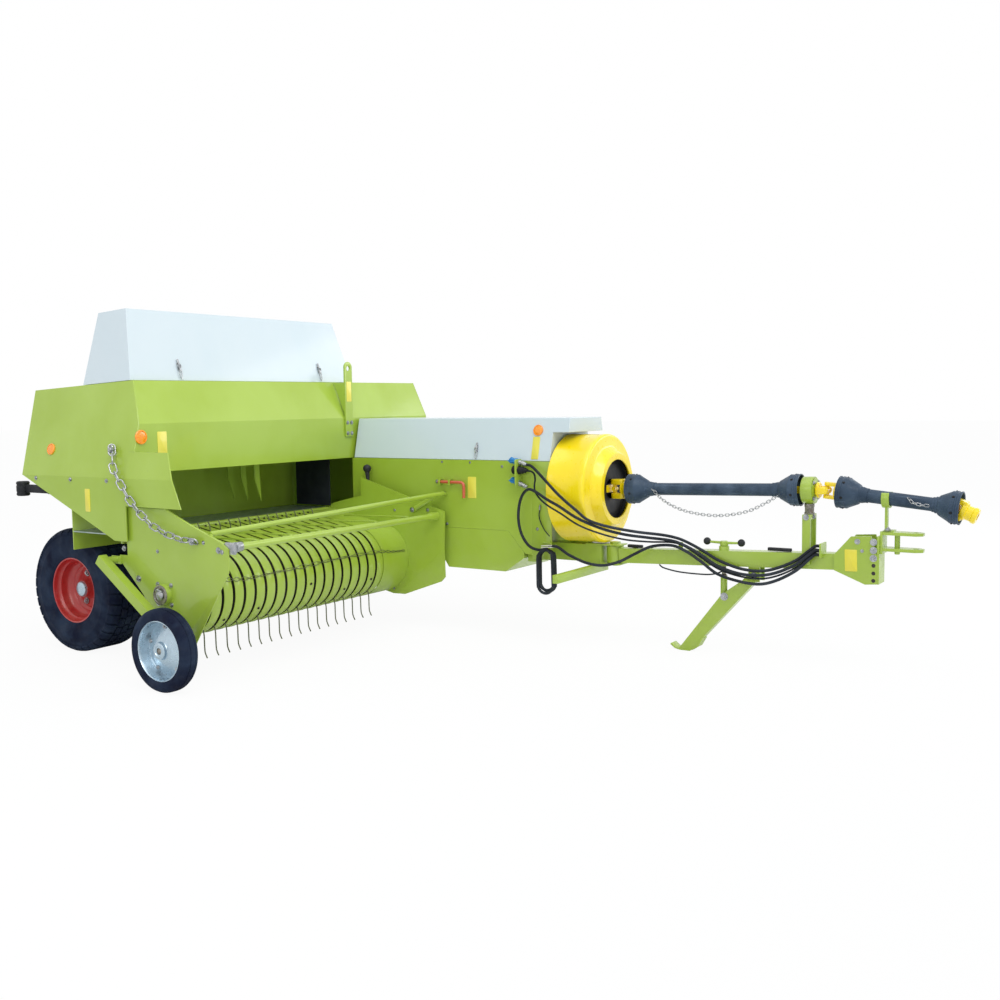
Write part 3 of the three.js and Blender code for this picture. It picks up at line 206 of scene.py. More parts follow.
class Surface(Nodes):
    """A material's node tree, around one Principled shader."""

    def __init__(self, name: str) -> None:
        """Starts a material with nothing but its shader.

        Args:
            name: the material's name.
        """
        self.material = bpy.data.materials.new(name)
        self.material.use_nodes = True
        super().__init__(self.material.node_tree)
        self.shader = self.node("ShaderNodeBsdfPrincipled")
        self.output = self.node("ShaderNodeOutputMaterial", {"Surface": self.shader.outputs["BSDF"]})
        self.place = self.node("ShaderNodeTexCoord").outputs["Object"]
        self.relief: Any = None

    def constant(self, **values: float) -> None:
        """Sets the shader's own sockets; an underscore stands for a space in a socket's name."""
        for name, value in values.items():
            self.shader.inputs[name.replace("_", " ")].default_value = value

    def noise(self, scale: float, detail: float = 3, stretch: Triple = (1, 1, 1), warp: float = 0) -> Any:
        """Fractal noise on Object coordinates.

        Args:
            scale: features per metre.
            detail: number of octaves.
            stretch: how the coordinates are scaled before the noise reads them.
            warp: the noise's distortion.

        Returns:
            The socket with the noise value.
        """
        spread = self.first("ShaderNodeMapping", {"Vector": self.place, "Scale": stretch})
        return self.node(
            "ShaderNodeTexNoise", {"Vector": spread, "Scale": scale, "Detail": detail, "Distortion": warp},
        ).outputs["Fac"]

    def cells(self, scale: float) -> Any:
        """The random value of each cell of a Voronoi pattern, for zinc flowers."""
        pattern = self.node("ShaderNodeTexVoronoi", {"Vector": self.place, "Scale": scale})
        return self.first("ShaderNodeSeparateColor", {"Color": pattern.outputs["Color"]})

    def height_above(self, low: float, high: float) -> Any:
        """1 at the height low and 0 at high, in metres above the ground."""
        split = self.node("ShaderNodeSeparateXYZ", {"Vector": self.place})
        return self.between(split.outputs["Z"], low, high, 1, 0)

    def facing_up(self) -> Any:
        """1 on level upward faces, 0 on upright and hanging ones."""
        geometry = self.node("ShaderNodeNewGeometry")
        split = self.node("ShaderNodeSeparateXYZ", {"Vector": geometry.outputs["True Normal"]})
        return self.between(split.outputs["Z"], 0.15, 0.95, 0, 1)

    def between(self, value: Any, low: float, high: float, at_low: float, at_high: float) -> Any:
        """A value moved from one range to another, and held inside it."""
        ranges = {"From Min": low, "From Max": high, "To Min": at_low, "To Max": at_high}
        return self.first("ShaderNodeMapRange", {"Value": value, **ranges})

    def combine(self, operation: str, first: Any, second: Any) -> Any:
        """One of Blender's maths operations on two values, each a socket or a number, held from 0 to 1."""
        return self.first("ShaderNodeMath", {0: first, 1: second}, operation=operation, use_clamp=True)

    def mix(self, amount: Any, first: Any, second: Any) -> Any:
        """A colour between two others, each a socket or three numbers."""
        low, high = ((*c, 1) if isinstance(c, tuple) else c for c in (first, second))
        return self.node("ShaderNodeMix", {"Factor": amount, 6: low, 7: high}, data_type="RGBA").outputs[2]

    def raise_by(self, value: Any, distance: float, strength: float) -> None:
        """Adds a bump of that distance in metres, on top of the bumps before it."""
        under = {"Normal": self.relief} if self.relief else {}
        self.relief = self.first(
            "ShaderNodeBump", {"Height": value, "Distance": distance, "Strength": strength, **under},
        )

    def done(self, colour: Any, roughness: Any) -> bpy.types.Material:
        """Gives the shader its colour, roughness and bumps, and gives the material."""
        for name, value in (("Base Color", colour), ("Roughness", roughness), ("Normal", self.relief)):
            self.feed(self.shader.inputs[name], value)
        return self.material


@dataclass(frozen=True)
class Paint:
    """Sprayed enamel on sheet metal: orange peel, faded patches, dust low down and a few stone chips."""

    name: str
    slot: str
    colour: Colour
    faded: Colour
    roughness: float = 0.34
    chip: Colour = linear(94, 92, 84)
    dust: Colour = linear(176, 168, 140)
    dust_amount: float = 0.14
    chip_amount: float = 0.12
    peel: float = 0.1

    def build(self) -> bpy.types.Material:
        """The finished material."""
        s = Surface(self.name)
        s.constant(Coat_Weight=0.55, Coat_Roughness=0.1, Specular_IOR_Level=0.5)
        patches = s.between(s.noise(2.1, 3, warp=0.4), 0.35, 0.68, 0, 1)
        mottled = s.mix(patches, self.colour, self.faded)
        streaks = s.between(s.noise(9, 4, stretch=(1, 1, 0.12)), 0.48, 0.75, 0, 0.35)
        streaked = s.mix(streaks, mottled, self.faded)
        grime = s.combine(
            "MULTIPLY", s.height_above(0.05, 0.85), s.between(s.noise(14, 5), 0.42, 0.72, 0.1, 1),
        )
        settled = s.combine("MULTIPLY", s.facing_up(), s.between(s.noise(26, 4), 0.45, 0.7, 0.05, 0.5))
        dust = s.combine("MULTIPLY", s.combine("ADD", grime, settled), self.dust_amount)
        dusty = s.mix(dust, streaked, self.dust)
        specks = s.between(s.noise(90, 5), 0.68, 0.74, 0, self.chip_amount)
        s.raise_by(s.noise(210, 2), 0.0006, self.peel)
        s.raise_by(s.noise(5.5, 2), 0.010, 0.16)
        rough = s.combine(
            "ADD", s.between(s.noise(30, 3), 0.3, 0.7, self.roughness - 0.06, self.roughness + 0.09), dust,
        )
        return s.done(s.mix(specks, dusty, self.chip), rough)


@dataclass(frozen=True)
class Rubber:
    """Tyre and hose rubber: near black with a bloom, dried mud in its hollows and a fine grain."""

    name: str
    slot: str
    colour: Colour
    bloom: Colour
    mud: Colour = linear(112, 102, 86)
    mud_amount: float = 0.35
    roughness: float = 0.72
    grain: float = 320
    shine: float = 0.14

    def build(self) -> bpy.types.Material:
        """The finished material."""
        s = Surface(self.name)
        s.constant(Specular_IOR_Level=self.shine)
        cloudy = s.mix(s.between(s.noise(7, 4, warp=0.5), 0.36, 0.7, 0, 1), self.colour, self.bloom)
        patches = s.between(s.noise(19, 5), 0.5, 0.74, 0, self.mud_amount)
        muddy = s.mix(s.combine("MULTIPLY", patches, s.height_above(0.0, 0.9)), cloudy, self.mud)
        s.raise_by(s.noise(self.grain, 2), 0.0008, 0.25)
        s.raise_by(s.noise(34, 3), 0.003, 0.18)
        rough = s.between(s.noise(22, 3), 0.3, 0.7, self.roughness - 0.12, self.roughness + 0.14)
        return s.done(muddy, rough)


@dataclass(frozen=True)
class Plastic:
    """Moulded plastic: a slightly cloudy colour with scuffs that lie along the machine."""

    name: str
    slot: str
    colour: Colour
    scuff: Colour
    roughness: float = 0.45

    def build(self) -> bpy.types.Material:
        """The finished material."""
        s = Surface(self.name)
        s.constant(Specular_IOR_Level=0.2)
        cloudy = s.mix(s.between(s.noise(11, 3), 0.35, 0.7, 0, 0.6), self.colour, self.scuff)
        scratches = s.between(s.noise(60, 4, stretch=(0.08, 1, 1)), 0.58, 0.7, 0, 0.55)
        s.raise_by(s.noise(420, 2), 0.0004, 0.2)
        rough = s.between(s.noise(26, 3), 0.3, 0.7, self.roughness - 0.1, self.roughness + 0.12)
        return s.done(s.mix(scratches, cloudy, self.scuff), rough)


@dataclass(frozen=True)
class Zinc:
    """Hot-dipped or plated zinc: flowers of the coating, white bloom and a few rust specks."""

    name: str
    slot: str
    colour: Colour
    bright: Colour
    rust: Colour = linear(120, 74, 44)
    rust_amount: float = 0.25
    flowers: float = 70
    roughness: float = 0.34
    metallic: float = 0.85

    def build(self) -> bpy.types.Material:
        """The finished material."""
        s = Surface(self.name)
        s.constant(Metallic=self.metallic)
        flower = s.mix(s.between(s.cells(self.flowers), 0, 1, 0, 1), self.colour, self.bright)
        bloom = s.mix(s.between(s.noise(12, 4), 0.5, 0.72, 0, 0.5), flower, self.bright)
        rust = s.between(s.noise(44, 5), 0.6, 0.72, 0, self.rust_amount)
        s.raise_by(s.noise(160, 3), 0.0006, 0.2)
        rough = s.between(s.noise(40, 3), 0.3, 0.7, self.roughness - 0.1, self.roughness + 0.16)
        return s.done(s.mix(rust, bloom, self.rust), rough)


@dataclass(frozen=True)
class Lens:
    """A moulded reflector: deep colour with a grid of prisms under a glossy face."""

    name: str
    slot: str
    colour: Colour
    deep: Colour
    prisms: float = 190

    def build(self) -> bpy.types.Material:
        """The finished material."""
        s = Surface(self.name)
        s.constant(Coat_Weight=0.8, Coat_Roughness=0.05)
        cell = s.cells(self.prisms)
        s.raise_by(cell, 0.001, 0.35)
        return s.done(s.mix(cell, self.colour, self.deep), s.between(s.noise(60, 2), 0.3, 0.7, 0.12, 0.3))


@dataclass(frozen=True)
class Ground:
    """The pale studio floor, which glows a little towards the camera so that it is seen near white."""

    name: str
    colour: Colour
    glow: float = 0.94

    def build(self) -> bpy.types.Material:
        """The finished material."""
        s = Surface(self.name)
        s.constant(Specular_IOR_Level=0.1)
        s.raise_by(s.noise(90, 3), 0.0006, 0.1)
        material = s.done((*self.colour, 1), s.between(s.noise(4, 2), 0, 1, 0.75, 0.9))
        seen = s.combine("MULTIPLY", s.node("ShaderNodeLightPath").outputs["Is Camera Ray"], self.glow)
        white = s.first("ShaderNodeEmission", {"Color": (1, 1, 1, 1)})
        both = s.first("ShaderNodeMixShader", {0: seen, 1: s.shader.outputs[0], 2: white})
        s.feed(s.output.inputs["Surface"], both)
        return material


class Finish(Enum):
    """The finishes of the machine, each built once when it is first used."""

    GREEN = Paint("green_enamel", "green_paint", linear(155, 182, 50), linear(165, 192, 72))
    COVER = Paint(
        "white_gelcoat", "cover_paint", linear(200, 214, 221), linear(205, 217, 223), 0.34,
        linear(160, 170, 176), dust_amount=0.02, chip_amount=0, peel=0.02,
    )
    YELLOW = Paint(
        "yellow_enamel", "yellow_paint", linear(252, 222, 0), linear(252, 226, 10), 0.3, linear(120, 96, 40),
        dust_amount=0.05,
    )
    RED = Paint(
        "red_enamel", "red_paint", linear(176, 22, 26), linear(186, 44, 42), 0.36, linear(90, 60, 55),
    )
    HANDLE = Paint("handle_enamel", "handle_red", linear(196, 74, 46), linear(204, 100, 70), 0.4)
    LABEL = Paint(
        "blank_plate", "yellow_plate", linear(226, 214, 52), linear(232, 222, 92), 0.45, chip_amount=0.2,
        dust_amount=0.1,
    )
    TYRE = Rubber(
        "tyre_compound", "tyre_rubber", linear(18, 24, 44), linear(42, 54, 74), mud_amount=0.06,
        roughness=0.75, shine=0.1,
    )
    HOSE = Rubber(
        "hose_rubber", "black_rubber", linear(34, 38, 44), linear(54, 60, 68), mud_amount=0.12,
        roughness=0.55, grain=520,
    )
    CURTAIN = Rubber(
        "curtain_rubber", "black_rubber", linear(30, 33, 40), linear(44, 48, 56), mud_amount=0.2,
    )
    GUARD = Plastic("guard_moulding", "guard_plastic", linear(46, 62, 80), linear(80, 98, 118))
    CAP = Plastic("blue_cap", "blue_cap", linear(26, 110, 176), linear(70, 146, 200), 0.35)
    FLAG = Plastic("black_plastic", "guard_plastic", linear(30, 31, 34), linear(60, 62, 66), 0.5)
    LAMP_CASE = Plastic("black_plastic", "black_rubber", linear(30, 31, 34), linear(60, 62, 66), 0.5)
    TIE = Plastic("pale_tie", "zinc_steel", linear(206, 204, 190), linear(226, 224, 214), 0.5)
    STEEL = Zinc(
        "worn_steel", "bare_steel", linear(120, 116, 108), linear(156, 152, 144), rust_amount=0.5,
        flowers=120, roughness=0.42,
    )
    ZINC = Zinc(
        "plated_zinc", "zinc_steel", linear(146, 150, 154), linear(186, 188, 190), rust_amount=0.12,
        roughness=0.26,
    )
    DISH = Zinc(
        "galvanised_dish", "zinc_steel", linear(176, 194, 206), linear(184, 202, 214), rust_amount=0.03,
        flowers=24, roughness=0.3,
    )
    FLOOR_ZINC = Zinc(
        "galvanised_sheet", "grey_floor", linear(150, 166, 166), linear(178, 190, 188), flowers=30,
        roughness=0.38,
    )
    WIRE = Zinc(
        "dark_wire", "bare_steel", linear(84, 92, 58), linear(110, 114, 90), rust_amount=0.5, metallic=0.5,
        roughness=0.5,
    )
    # Dark steel; on the band channels and the hitch-hole discs it is painted shade.
    DARK_STEEL = Zinc(
        "dark_steel", "bare_steel", linear(46, 44, 44), linear(70, 66, 62), rust_amount=0.5, roughness=0.5,
        metallic=0.7,
    )
    LENS = Lens("orange_lens", "orange_lens", linear(255, 166, 16), linear(250, 138, 6))

    @property
    def material(self) -> bpy.types.Material:
        """The Blender material of this finish."""
        found = bpy.data.materials.get(self.value.name)
        return found if found is not None else self.value.build()


# ---------------------------------------------------------------- mesh code


@dataclass
class Shape:
    """A mesh under construction, in millimetres."""

    mesh: bmesh.types.BMesh = field(default_factory=bmesh.new)

    def faces(self, points: Sequence[Point], polygons: Iterable[Sequence[int]]) -> Verts:
        """Adds points and the polygons between them.

        Args:
            points: corners in millimetres.
            polygons: tuples of indices into points.

        Returns:
            The new vertices.
        """
        made = [self.mesh.verts.new(p) for p in points]
        for polygon in polygons:
            self.mesh.faces.new([made[i] for i in polygon])
        return made

    def box(self, x: Pair, y: Pair, z: Pair) -> None:
        """A block between two corners, drawn as a prism so that it can be beveled with the rest."""
        self.prism(Axis.Z, [(x[0], y[0]), (x[1], y[0]), (x[1], y[1]), (x[0], y[1])], *z)

    def prism(self, axis: Axis, outline: Sequence[Pair], start: float, end: float) -> Verts:
        """An outline drawn along an axis.

        Args:
            axis: X takes the outline as (y, z), Y as (x, z) and Z as (x, y).
            outline: the corners in order.
            start: where it starts on the axis.
            end: where it ends.

        Returns:
            The new vertices.
        """
        count = len(outline)

        def at(pair: Pair, along: float) -> Triple:
            a, b = pair
            return {Axis.X: (along, a, b), Axis.Y: (a, along, b), Axis.Z: (a, b, along)}[axis]

        points = [at(p, start) for p in outline] + [at(p, end) for p in outline]
        walls = [(i, (i + 1) % count, count + (i + 1) % count, count + i) for i in range(count)]
        return self.faces(points, [tuple(range(count)), tuple(range(count, 2 * count)), *walls])

    def loft(self, rings: Sequence[Sequence[Triple]]) -> None:
        """A skin over rings of points, with its ends filled.

        Args:
            rings: closed rings with the same number of points.
        """
        sides = len(rings[0])
        points = [p for ring in rings for p in ring]
        walls = []
        for a in range(0, len(points) - sides, sides):
            walls += [
                (a + j, a + (j + 1) % sides, a + sides + (j + 1) % sides, a + sides + j)
                for j in range(sides)
            ]
        self.faces(points, [*walls, range(sides), range(len(points) - sides, len(points))])

    def lathe(self, axis: Axis, profile: Sequence[Pair], centre: Triple, segments: int = 48) -> None:
        """A profile of (radius, along) turned about an axis through centre.

        Args:
            axis: the axis that it is turned about.
            profile: its points; unless both ends lie on the axis, it is a ring's closed section.
            centre: the point on the axis where along is 0.
            segments: the number of steps round.
        """
        ways = [Vector(way) for way in (AHEAD, LEFT, UP)]
        u, v, w = (ways[(axis.value + k) % 3] for k in (1, 2, 3))
        middle = Vector(centre)
        rings = []
        for i in range(segments):
            turn = 2 * math.pi * i / segments
            out = u * math.cos(turn) + v * math.sin(turn)
            rings.append([tuple(middle + out * r + w * s) for r, s in profile])
        made = [self.mesh.verts.new(p) for ring in rings for p in ring]
        count = len(profile)
        steps = count if profile[0][0] or profile[-1][0] else count - 1
        for i in range(segments):
            a, b = i * count, ((i + 1) % segments) * count
            for j in range(steps):
                k = (j + 1) % count
                self.mesh.faces.new([made[a + j], made[a + k], made[b + k], made[b + j]])
        bmesh.ops.remove_doubles(self.mesh, verts=made, dist=0.01)

    def tube(self, points: Sequence[Point], radius: float | Sequence[float], sides: int = 12) -> None:
        """A round bar along a path, with mitred bends.

        Args:
            points: the path's points.
            radius: one radius, or one for each point.
            sides: the number of sides.
        """
        path = [Vector(p) for p in points]
        radii = [radius] * len(path) if isinstance(radius, (int, float)) else list(radius)
        rings = []
        side: Vector | None = None
        for i, p in enumerate(path):
            before = (p - path[i - 1]).normalized() if i else None
            after = (path[i + 1] - p).normalized() if i + 1 < len(path) else None
            along = ((before or after) + (after or before)).normalized()
            if side is None:
                side = along.orthogonal().normalized()
            side = (side - along * side.dot(along)).normalized()
            up = along.cross(side)
            ring = []
            for k in range(sides):
                turn = 2 * math.pi * k / sides
                ring.append(tuple(p + (side * math.cos(turn) + up * math.sin(turn)) * radii[i]))
            rings.append(ring)
        self.loft(rings)

    def ball(self, centre: Triple, radius: float, segments: int = 28) -> None:
        """A ball knob, drawn as a turned profile with a flat at its foot."""
        profile = [
            (radius * math.sin(a), radius * math.cos(a)) for a in (math.pi * k / 10 for k in range(10))
        ]
        self.lathe(Axis.Z, [*profile, (radius * 0.3, -radius * 0.95), (0, -radius * 0.95)], centre, segments)

    def turn(self, verts: Iterable[bmesh.types.BMVert], matrix: Matrix) -> None:
        """Moves some vertices by a matrix, in millimetres."""
        bmesh.ops.transform(self.mesh, matrix=matrix, verts=list(verts))

    def turn_all(self, matrix: Matrix) -> None:
        """Moves the whole drawing by a matrix, in millimetres."""
        self.turn(self.mesh.verts, matrix)

    def slab(self, size: Pair, corner: float, depth: Pair, lay: Matrix) -> None:
        """A plate with rounded corners between two depths, drawn about its middle and laid by a matrix."""
        self.turn(self.prism(Axis.Z, rounded_rectangle(*size, corner), *depth), lay)

    def rounded(self, width: float, segments: int = 2, angle: float = 30) -> None:
        """Bevels the edges that are sharper than an angle.

        Args:
            width: the bevel's width in millimetres.
            segments: the number of its steps.
            angle: the least bend that is rounded, in degrees.
        """
        bmesh.ops.recalc_face_normals(self.mesh, faces=self.mesh.faces[:])
        limit = math.radians(angle)
        sharp = [e for e in self.mesh.edges if len(e.link_faces) == 2 and e.calc_face_angle(0) > limit]
        bmesh.ops.bevel(
            self.mesh, geom=sharp, offset=width, offset_type="OFFSET", segments=segments, profile=0.5,
            affect="EDGES", clamp_overlap=True, harden_normals=False,
        )

    def made(self, name: str) -> bpy.types.Mesh:
        """The finished mesh in metres, with normals outwards and smooth faces between sharp edges."""
        bmesh.ops.recalc_face_normals(self.mesh, faces=self.mesh.faces[:])
        bmesh.ops.scale(self.mesh, vec=(MM, MM, MM), verts=self.mesh.verts[:])
        made = bpy.data.meshes.new(name)
        self.mesh.to_mesh(made)
        self.mesh.free()
        return smoothed(made)

    def piece(self, name: str, body: Body | None, finish: Finish, *replaces: str) -> bpy.types.Object:
        """The finished mesh as a piece of the machine, with what placed() takes."""
        return placed(self.made(name), name, body, finish, *replaces)


def smoothed(mesh: bpy.types.Mesh) -> bpy.types.Mesh:
    """Marks a mesh's faces smooth and keeps its sharp edges sharp."""
    mesh.polygons.foreach_set("use_smooth", [True] * len(mesh.polygons))
    mesh.set_sharp_from_angle(angle=SMOOTH_ANGLE)
    return mesh


def placed(
    mesh: bpy.types.Mesh, name: str, body: Body | None, finish: Finish, *replaces: str,
) -> bpy.types.Object:
    """Makes a mesh a piece of the machine.

    Args:
        mesh: the finished mesh, in metres.
        name: the piece's name.
        body: the body that it rides on, or None for a piece that is bent between two.
        finish: the material of all its faces, and the record's slot that goes with it.
        replaces: the CAD nodes that it stands for.

    Returns:
        The piece.
    """
    mesh.materials.clear()
    mesh.materials.append(finish.material)
    piece = linked(name, mesh)
    if body:
        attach(piece, body.value)
    if replaces:
        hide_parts(*replaces)
    LOG.info("%s: %d faces on %s", name, len(mesh.polygons), body.value if body else "two bodies")
    return piece


def turned(
    name: str, body: Body, finish: Finish, axis: Axis, profile: Sequence[Pair], centre: Triple,
    segments: int, replaces: Sequence[str] = (),
) -> None:
    """A piece that is one turned profile, with what Shape.lathe() and placed() take."""
    shape = Shape()
    shape.lathe(axis, profile, centre, segments)
    shape.piece(name, body, finish, *replaces)


# ---------------------------------------------------------------- geometry nodes


class Recipe(Nodes):
    """A geometry node tree, from its Geometry input to Realize Instances and Set Material."""

    def __init__(self, name: str) -> None:
        """Starts a tree that takes a geometry and a material.

        Args:
            name: the tree's name.
        """
        super().__init__(bpy.data.node_groups.new(name, "GeometryNodeTree"))
        for way in ("OUTPUT", "INPUT"):
            self.tree.interface.new_socket("Geometry", in_out=way, socket_type="NodeSocketGeometry")
        self.source = self.node("NodeGroupInput")
        self.sink = self.node("NodeGroupOutput")
        self.declare("Material", "Material")

    def declare(self, name: str, kind: str, value: Any = None) -> Any:
        """Adds a named input and gives its socket."""
        socket = self.tree.interface.new_socket(name, in_out="INPUT", socket_type="NodeSocket" + kind)
        if value is not None:
            socket.default_value = value
        return self.source.outputs[name]

    @property
    def given(self) -> bpy.types.NodeSocket:
        """The geometry that goes into the tree."""
        return self.source.outputs["Geometry"]

    def maths(self, operation: str, first: Any, second: Any = 0.0) -> bpy.types.NodeSocket:
        """One of Blender's maths operations on two values, each a socket or a number."""
        return self.first("ShaderNodeMath", {0: first, 1: second}, operation=operation)

    def instances(self, points: Any, piece: Any, **inputs: Any) -> bpy.types.NodeSocket:
        """A piece on every one of some points."""
        return self.first("GeometryNodeInstanceOnPoints", {"Points": points, "Instance": piece, **inputs})

    def circle(self, sides: Any, radius: Any) -> bpy.types.NodeSocket:
        """A circle as a curve."""
        return self.first(
            "GeometryNodeCurvePrimitiveCircle", {"Resolution": sides, "Radius": radius}, mode="RADIUS",
        )

    def attribute(self, name: str, kind: str) -> bpy.types.NodeSocket:
        """A named attribute of the points."""
        return self.first("GeometryNodeInputNamedAttribute", {"Name": name}, data_type=kind)

    def finish(self, geometry: Any) -> bpy.types.NodeTree:
        """Ends the tree with real geometry that carries the material."""
        real = self.first("GeometryNodeRealizeInstances", {"Geometry": geometry})
        material = self.source.outputs["Material"]
        dressed = self.first("GeometryNodeSetMaterial", {"Geometry": real, "Material": material})
        self.feed(self.sink.inputs[0], dressed)
        return self.tree


def bolt_recipe() -> bpy.types.NodeTree:
    """Hexagon heads on washers at every point, each along the point's "facing" and scaled by its "size"."""
    r = Recipe("bolt_heads")
    across = r.declare("Across Corners", "Float", 0.01)
    height = r.declare("Head Height", "Float", 0.007)
    washer = r.declare("Washer Radius", "Float", 0.014)
    stub = (10, r.maths("MULTIPLY", across, 0.5), r.maths("MULTIPLY", height, 1.6))
    joined = r.node("GeometryNodeJoinGeometry")
    for sides, radius, depth in (stub, (16, washer, 0.002), (6, across, height)):
        sizes = {"Vertices": sides, "Radius Top": radius, "Radius Bottom": radius, "Depth": depth}
        r.feed(joined.inputs[0], r.first("GeometryNodeMeshCone", sizes, fill_type="NGON"))
    facing = r.attribute("facing", "FLOAT_VECTOR")
    turn = r.first("FunctionNodeAlignRotationToVector", {"Vector": facing}, axis="Z")
    return r.finish(
        r.instances(r.given, joined.outputs[0], Rotation=turn, Scale=r.attribute("size", "FLOAT")),
    )


def row_recipe() -> bpy.types.NodeTree:
    """The mesh repeated in a straight row."""
    r = Recipe("row_of_pieces")
    count, step = r.declare("Count", "Int", 2), r.declare("Step", "Vector")
    line = r.first("GeometryNodeMeshLine", {"Count": count, "Offset": step}, mode="OFFSET")
    return r.finish(r.instances(line, r.given))


def turn_recipe() -> bpy.types.NodeTree:
    """The mesh repeated round an axis through a centre."""
    r = Recipe("pieces_round_an_axis")
    count = r.declare("Count", "Int", 2)
    centre, axis = r.declare("Centre", "Vector"), r.declare("Axis", "Vector")
    places = {"Count": count, "Start Location": centre, "Offset": (0, 0, 0)}
    line = r.first("GeometryNodeMeshLine", places, mode="OFFSET")
    back = r.first("ShaderNodeVectorMath", {0: centre, "Scale": -1.0}, operation="SCALE")
    moved = r.first("GeometryNodeTransform", {"Geometry": r.given, "Translation": back})
    share = r.maths("DIVIDE", r.first("GeometryNodeInputIndex"), count)
    angle = r.maths("MULTIPLY", share, 2 * math.pi)
    rotation = r.first("FunctionNodeAxisAngleToRotation", {"Axis": axis, "Angle": angle})
    return r.finish(r.instances(line, moved, Rotation=rotation))


def chain_recipe() -> bpy.types.NodeTree:
    """Oval links along a path of edges, every second one turned a quarter round the path."""
    r = Recipe("chain_links")
    pitch = r.declare("Pitch", "Float", 0.03)
    length = r.declare("Link Length", "Float", 0.044)
    width = r.declare("Link Width", "Float", 0.024)
    wire = r.declare("Wire Radius", "Float", 0.004)
    path = r.first("GeometryNodeMeshToCurve", {"Mesh": r.given})
    points = r.node("GeometryNodeCurveToPoints", {"Curve": path, "Length": pitch}, mode="LENGTH")
    straight = r.maths("MULTIPLY", r.maths("SUBTRACT", length, width), 0.5)
    where = r.node("ShaderNodeSeparateXYZ", {0: r.first("GeometryNodeInputPosition")}).outputs
    half_width = r.maths("MULTIPLY", width, 0.5)
    shift = r.maths("MULTIPLY", r.maths("SIGN", where[0]), straight)
    along = r.maths("ADD", r.maths("MULTIPLY", where[0], half_width), shift)
    oval_point = r.first("ShaderNodeCombineXYZ", {0: r.maths("MULTIPLY", where[1], half_width), 2: along})
    oval = r.first("GeometryNodeSetPosition", {"Geometry": r.circle(20, 1.0), "Position": oval_point})
    link = r.first("GeometryNodeCurveToMesh", {"Curve": oval, "Profile Curve": r.circle(8, wire)})
    smooth = r.first("GeometryNodeSetShadeSmooth", {"Geometry": link})
    quarter = r.maths("MULTIPLY", r.maths("MODULO", r.first("GeometryNodeInputIndex"), 2.0), math.pi / 2)
    roll = r.first("FunctionNodeAxisAngleToRotation", {"Axis": UP, "Angle": quarter})
    turns = {0: points.outputs["Rotation"], 1: roll}
    facing = r.first("FunctionNodeRotateRotation", turns, rotation_space="LOCAL")
    return r.finish(r.instances(points.outputs["Points"], smooth, Rotation=facing))


def wire_recipe() -> bpy.types.NodeTree:
    """A round wire along every path of edges."""
    r = Recipe("round_wire")
    section = r.circle(r.declare("Sides", "Int", 10), r.declare("Radius", "Float", 0.003))
    path = r.first("GeometryNodeMeshToCurve", {"Mesh": r.given})
    wire = r.first("GeometryNodeCurveToMesh", {"Curve": path, "Profile Curve": section, "Fill Caps": True})
    return r.finish(r.first("GeometryNodeSetShadeSmooth", {"Geometry": wire}))


class Repeat(Enum):
    """The geometry node trees, each built once when it is first used."""

    BOLTS = (bolt_recipe,)
    ROW = (row_recipe,)
    TURN = (turn_recipe,)
    CHAIN = (chain_recipe,)
    WIRE = (wire_recipe,)

    @property
    def tree(self) -> bpy.types.NodeTree:
        """The node tree of this recipe."""
        if self.name not in RECIPES:
            RECIPES[self.name] = self.value[0]()
        return RECIPES[self.name]

    def apply(self, source: bpy.types.Mesh, name: str, finish: Finish, **inputs: Any) -> bpy.types.Mesh:
        """Runs the tree on a mesh and gives the result as a plain mesh.

        Args:
            source: the mesh that goes into the tree.
            name: the result's name.
            finish: the finish that the tree sets.
            inputs: the tree's inputs, with an underscore for a space in a name.

        Returns:
            The new mesh.
        """
        holder = linked(name + "_source", source)
        modifier = holder.modifiers.new("repeat", "NODES")
        modifier.node_group = self.tree
        sockets = {i.name: i.identifier for i in self.tree.interface.items_tree if i.in_out == "INPUT"}
        for label, value in {**inputs, "Material": finish.material}.items():
            modifier[sockets[label.replace("_", " ")]] = value
        graph = bpy.context.evaluated_depsgraph_get()
        result = bpy.data.meshes.new_from_object(holder.evaluated_get(graph), depsgraph=graph)
        holder.modifiers.remove(modifier)
        bpy.data.objects.remove(holder)
        bpy.data.meshes.remove(source)
        for attribute in [a.name for a in result.attributes if a.name in ("facing", "size")]:
            result.attributes.remove(result.attributes[attribute])
        result.name = name
        return result


    def piece(
        self, source: bpy.types.Mesh, name: str, body: Body, finish: Finish, *replaces: str, **inputs: Any,
    ) -> None:
        """Runs the tree on a mesh, as apply() does, and makes the result a smooth piece of the machine."""
        placed(smoothed(self.apply(source, name, finish, **inputs)), name, body, finish, *replaces)


RECIPES: dict[str, bpy.types.NodeTree] = {}


def path_mesh(paths: Sequence[Sequence[Point]], name: str) -> bpy.types.Mesh:
    """A mesh of edges along some paths, in millimetres, for a tree that follows them."""
    points, edges = [], []
    for path in paths:
        first = len(points)
        points += [metres(p) for p in path]
        edges += [(i, i + 1) for i in range(first, len(points) - 1)]
    mesh = bpy.data.meshes.new(name)
    mesh.from_pydata(points, edges, [])
    return mesh


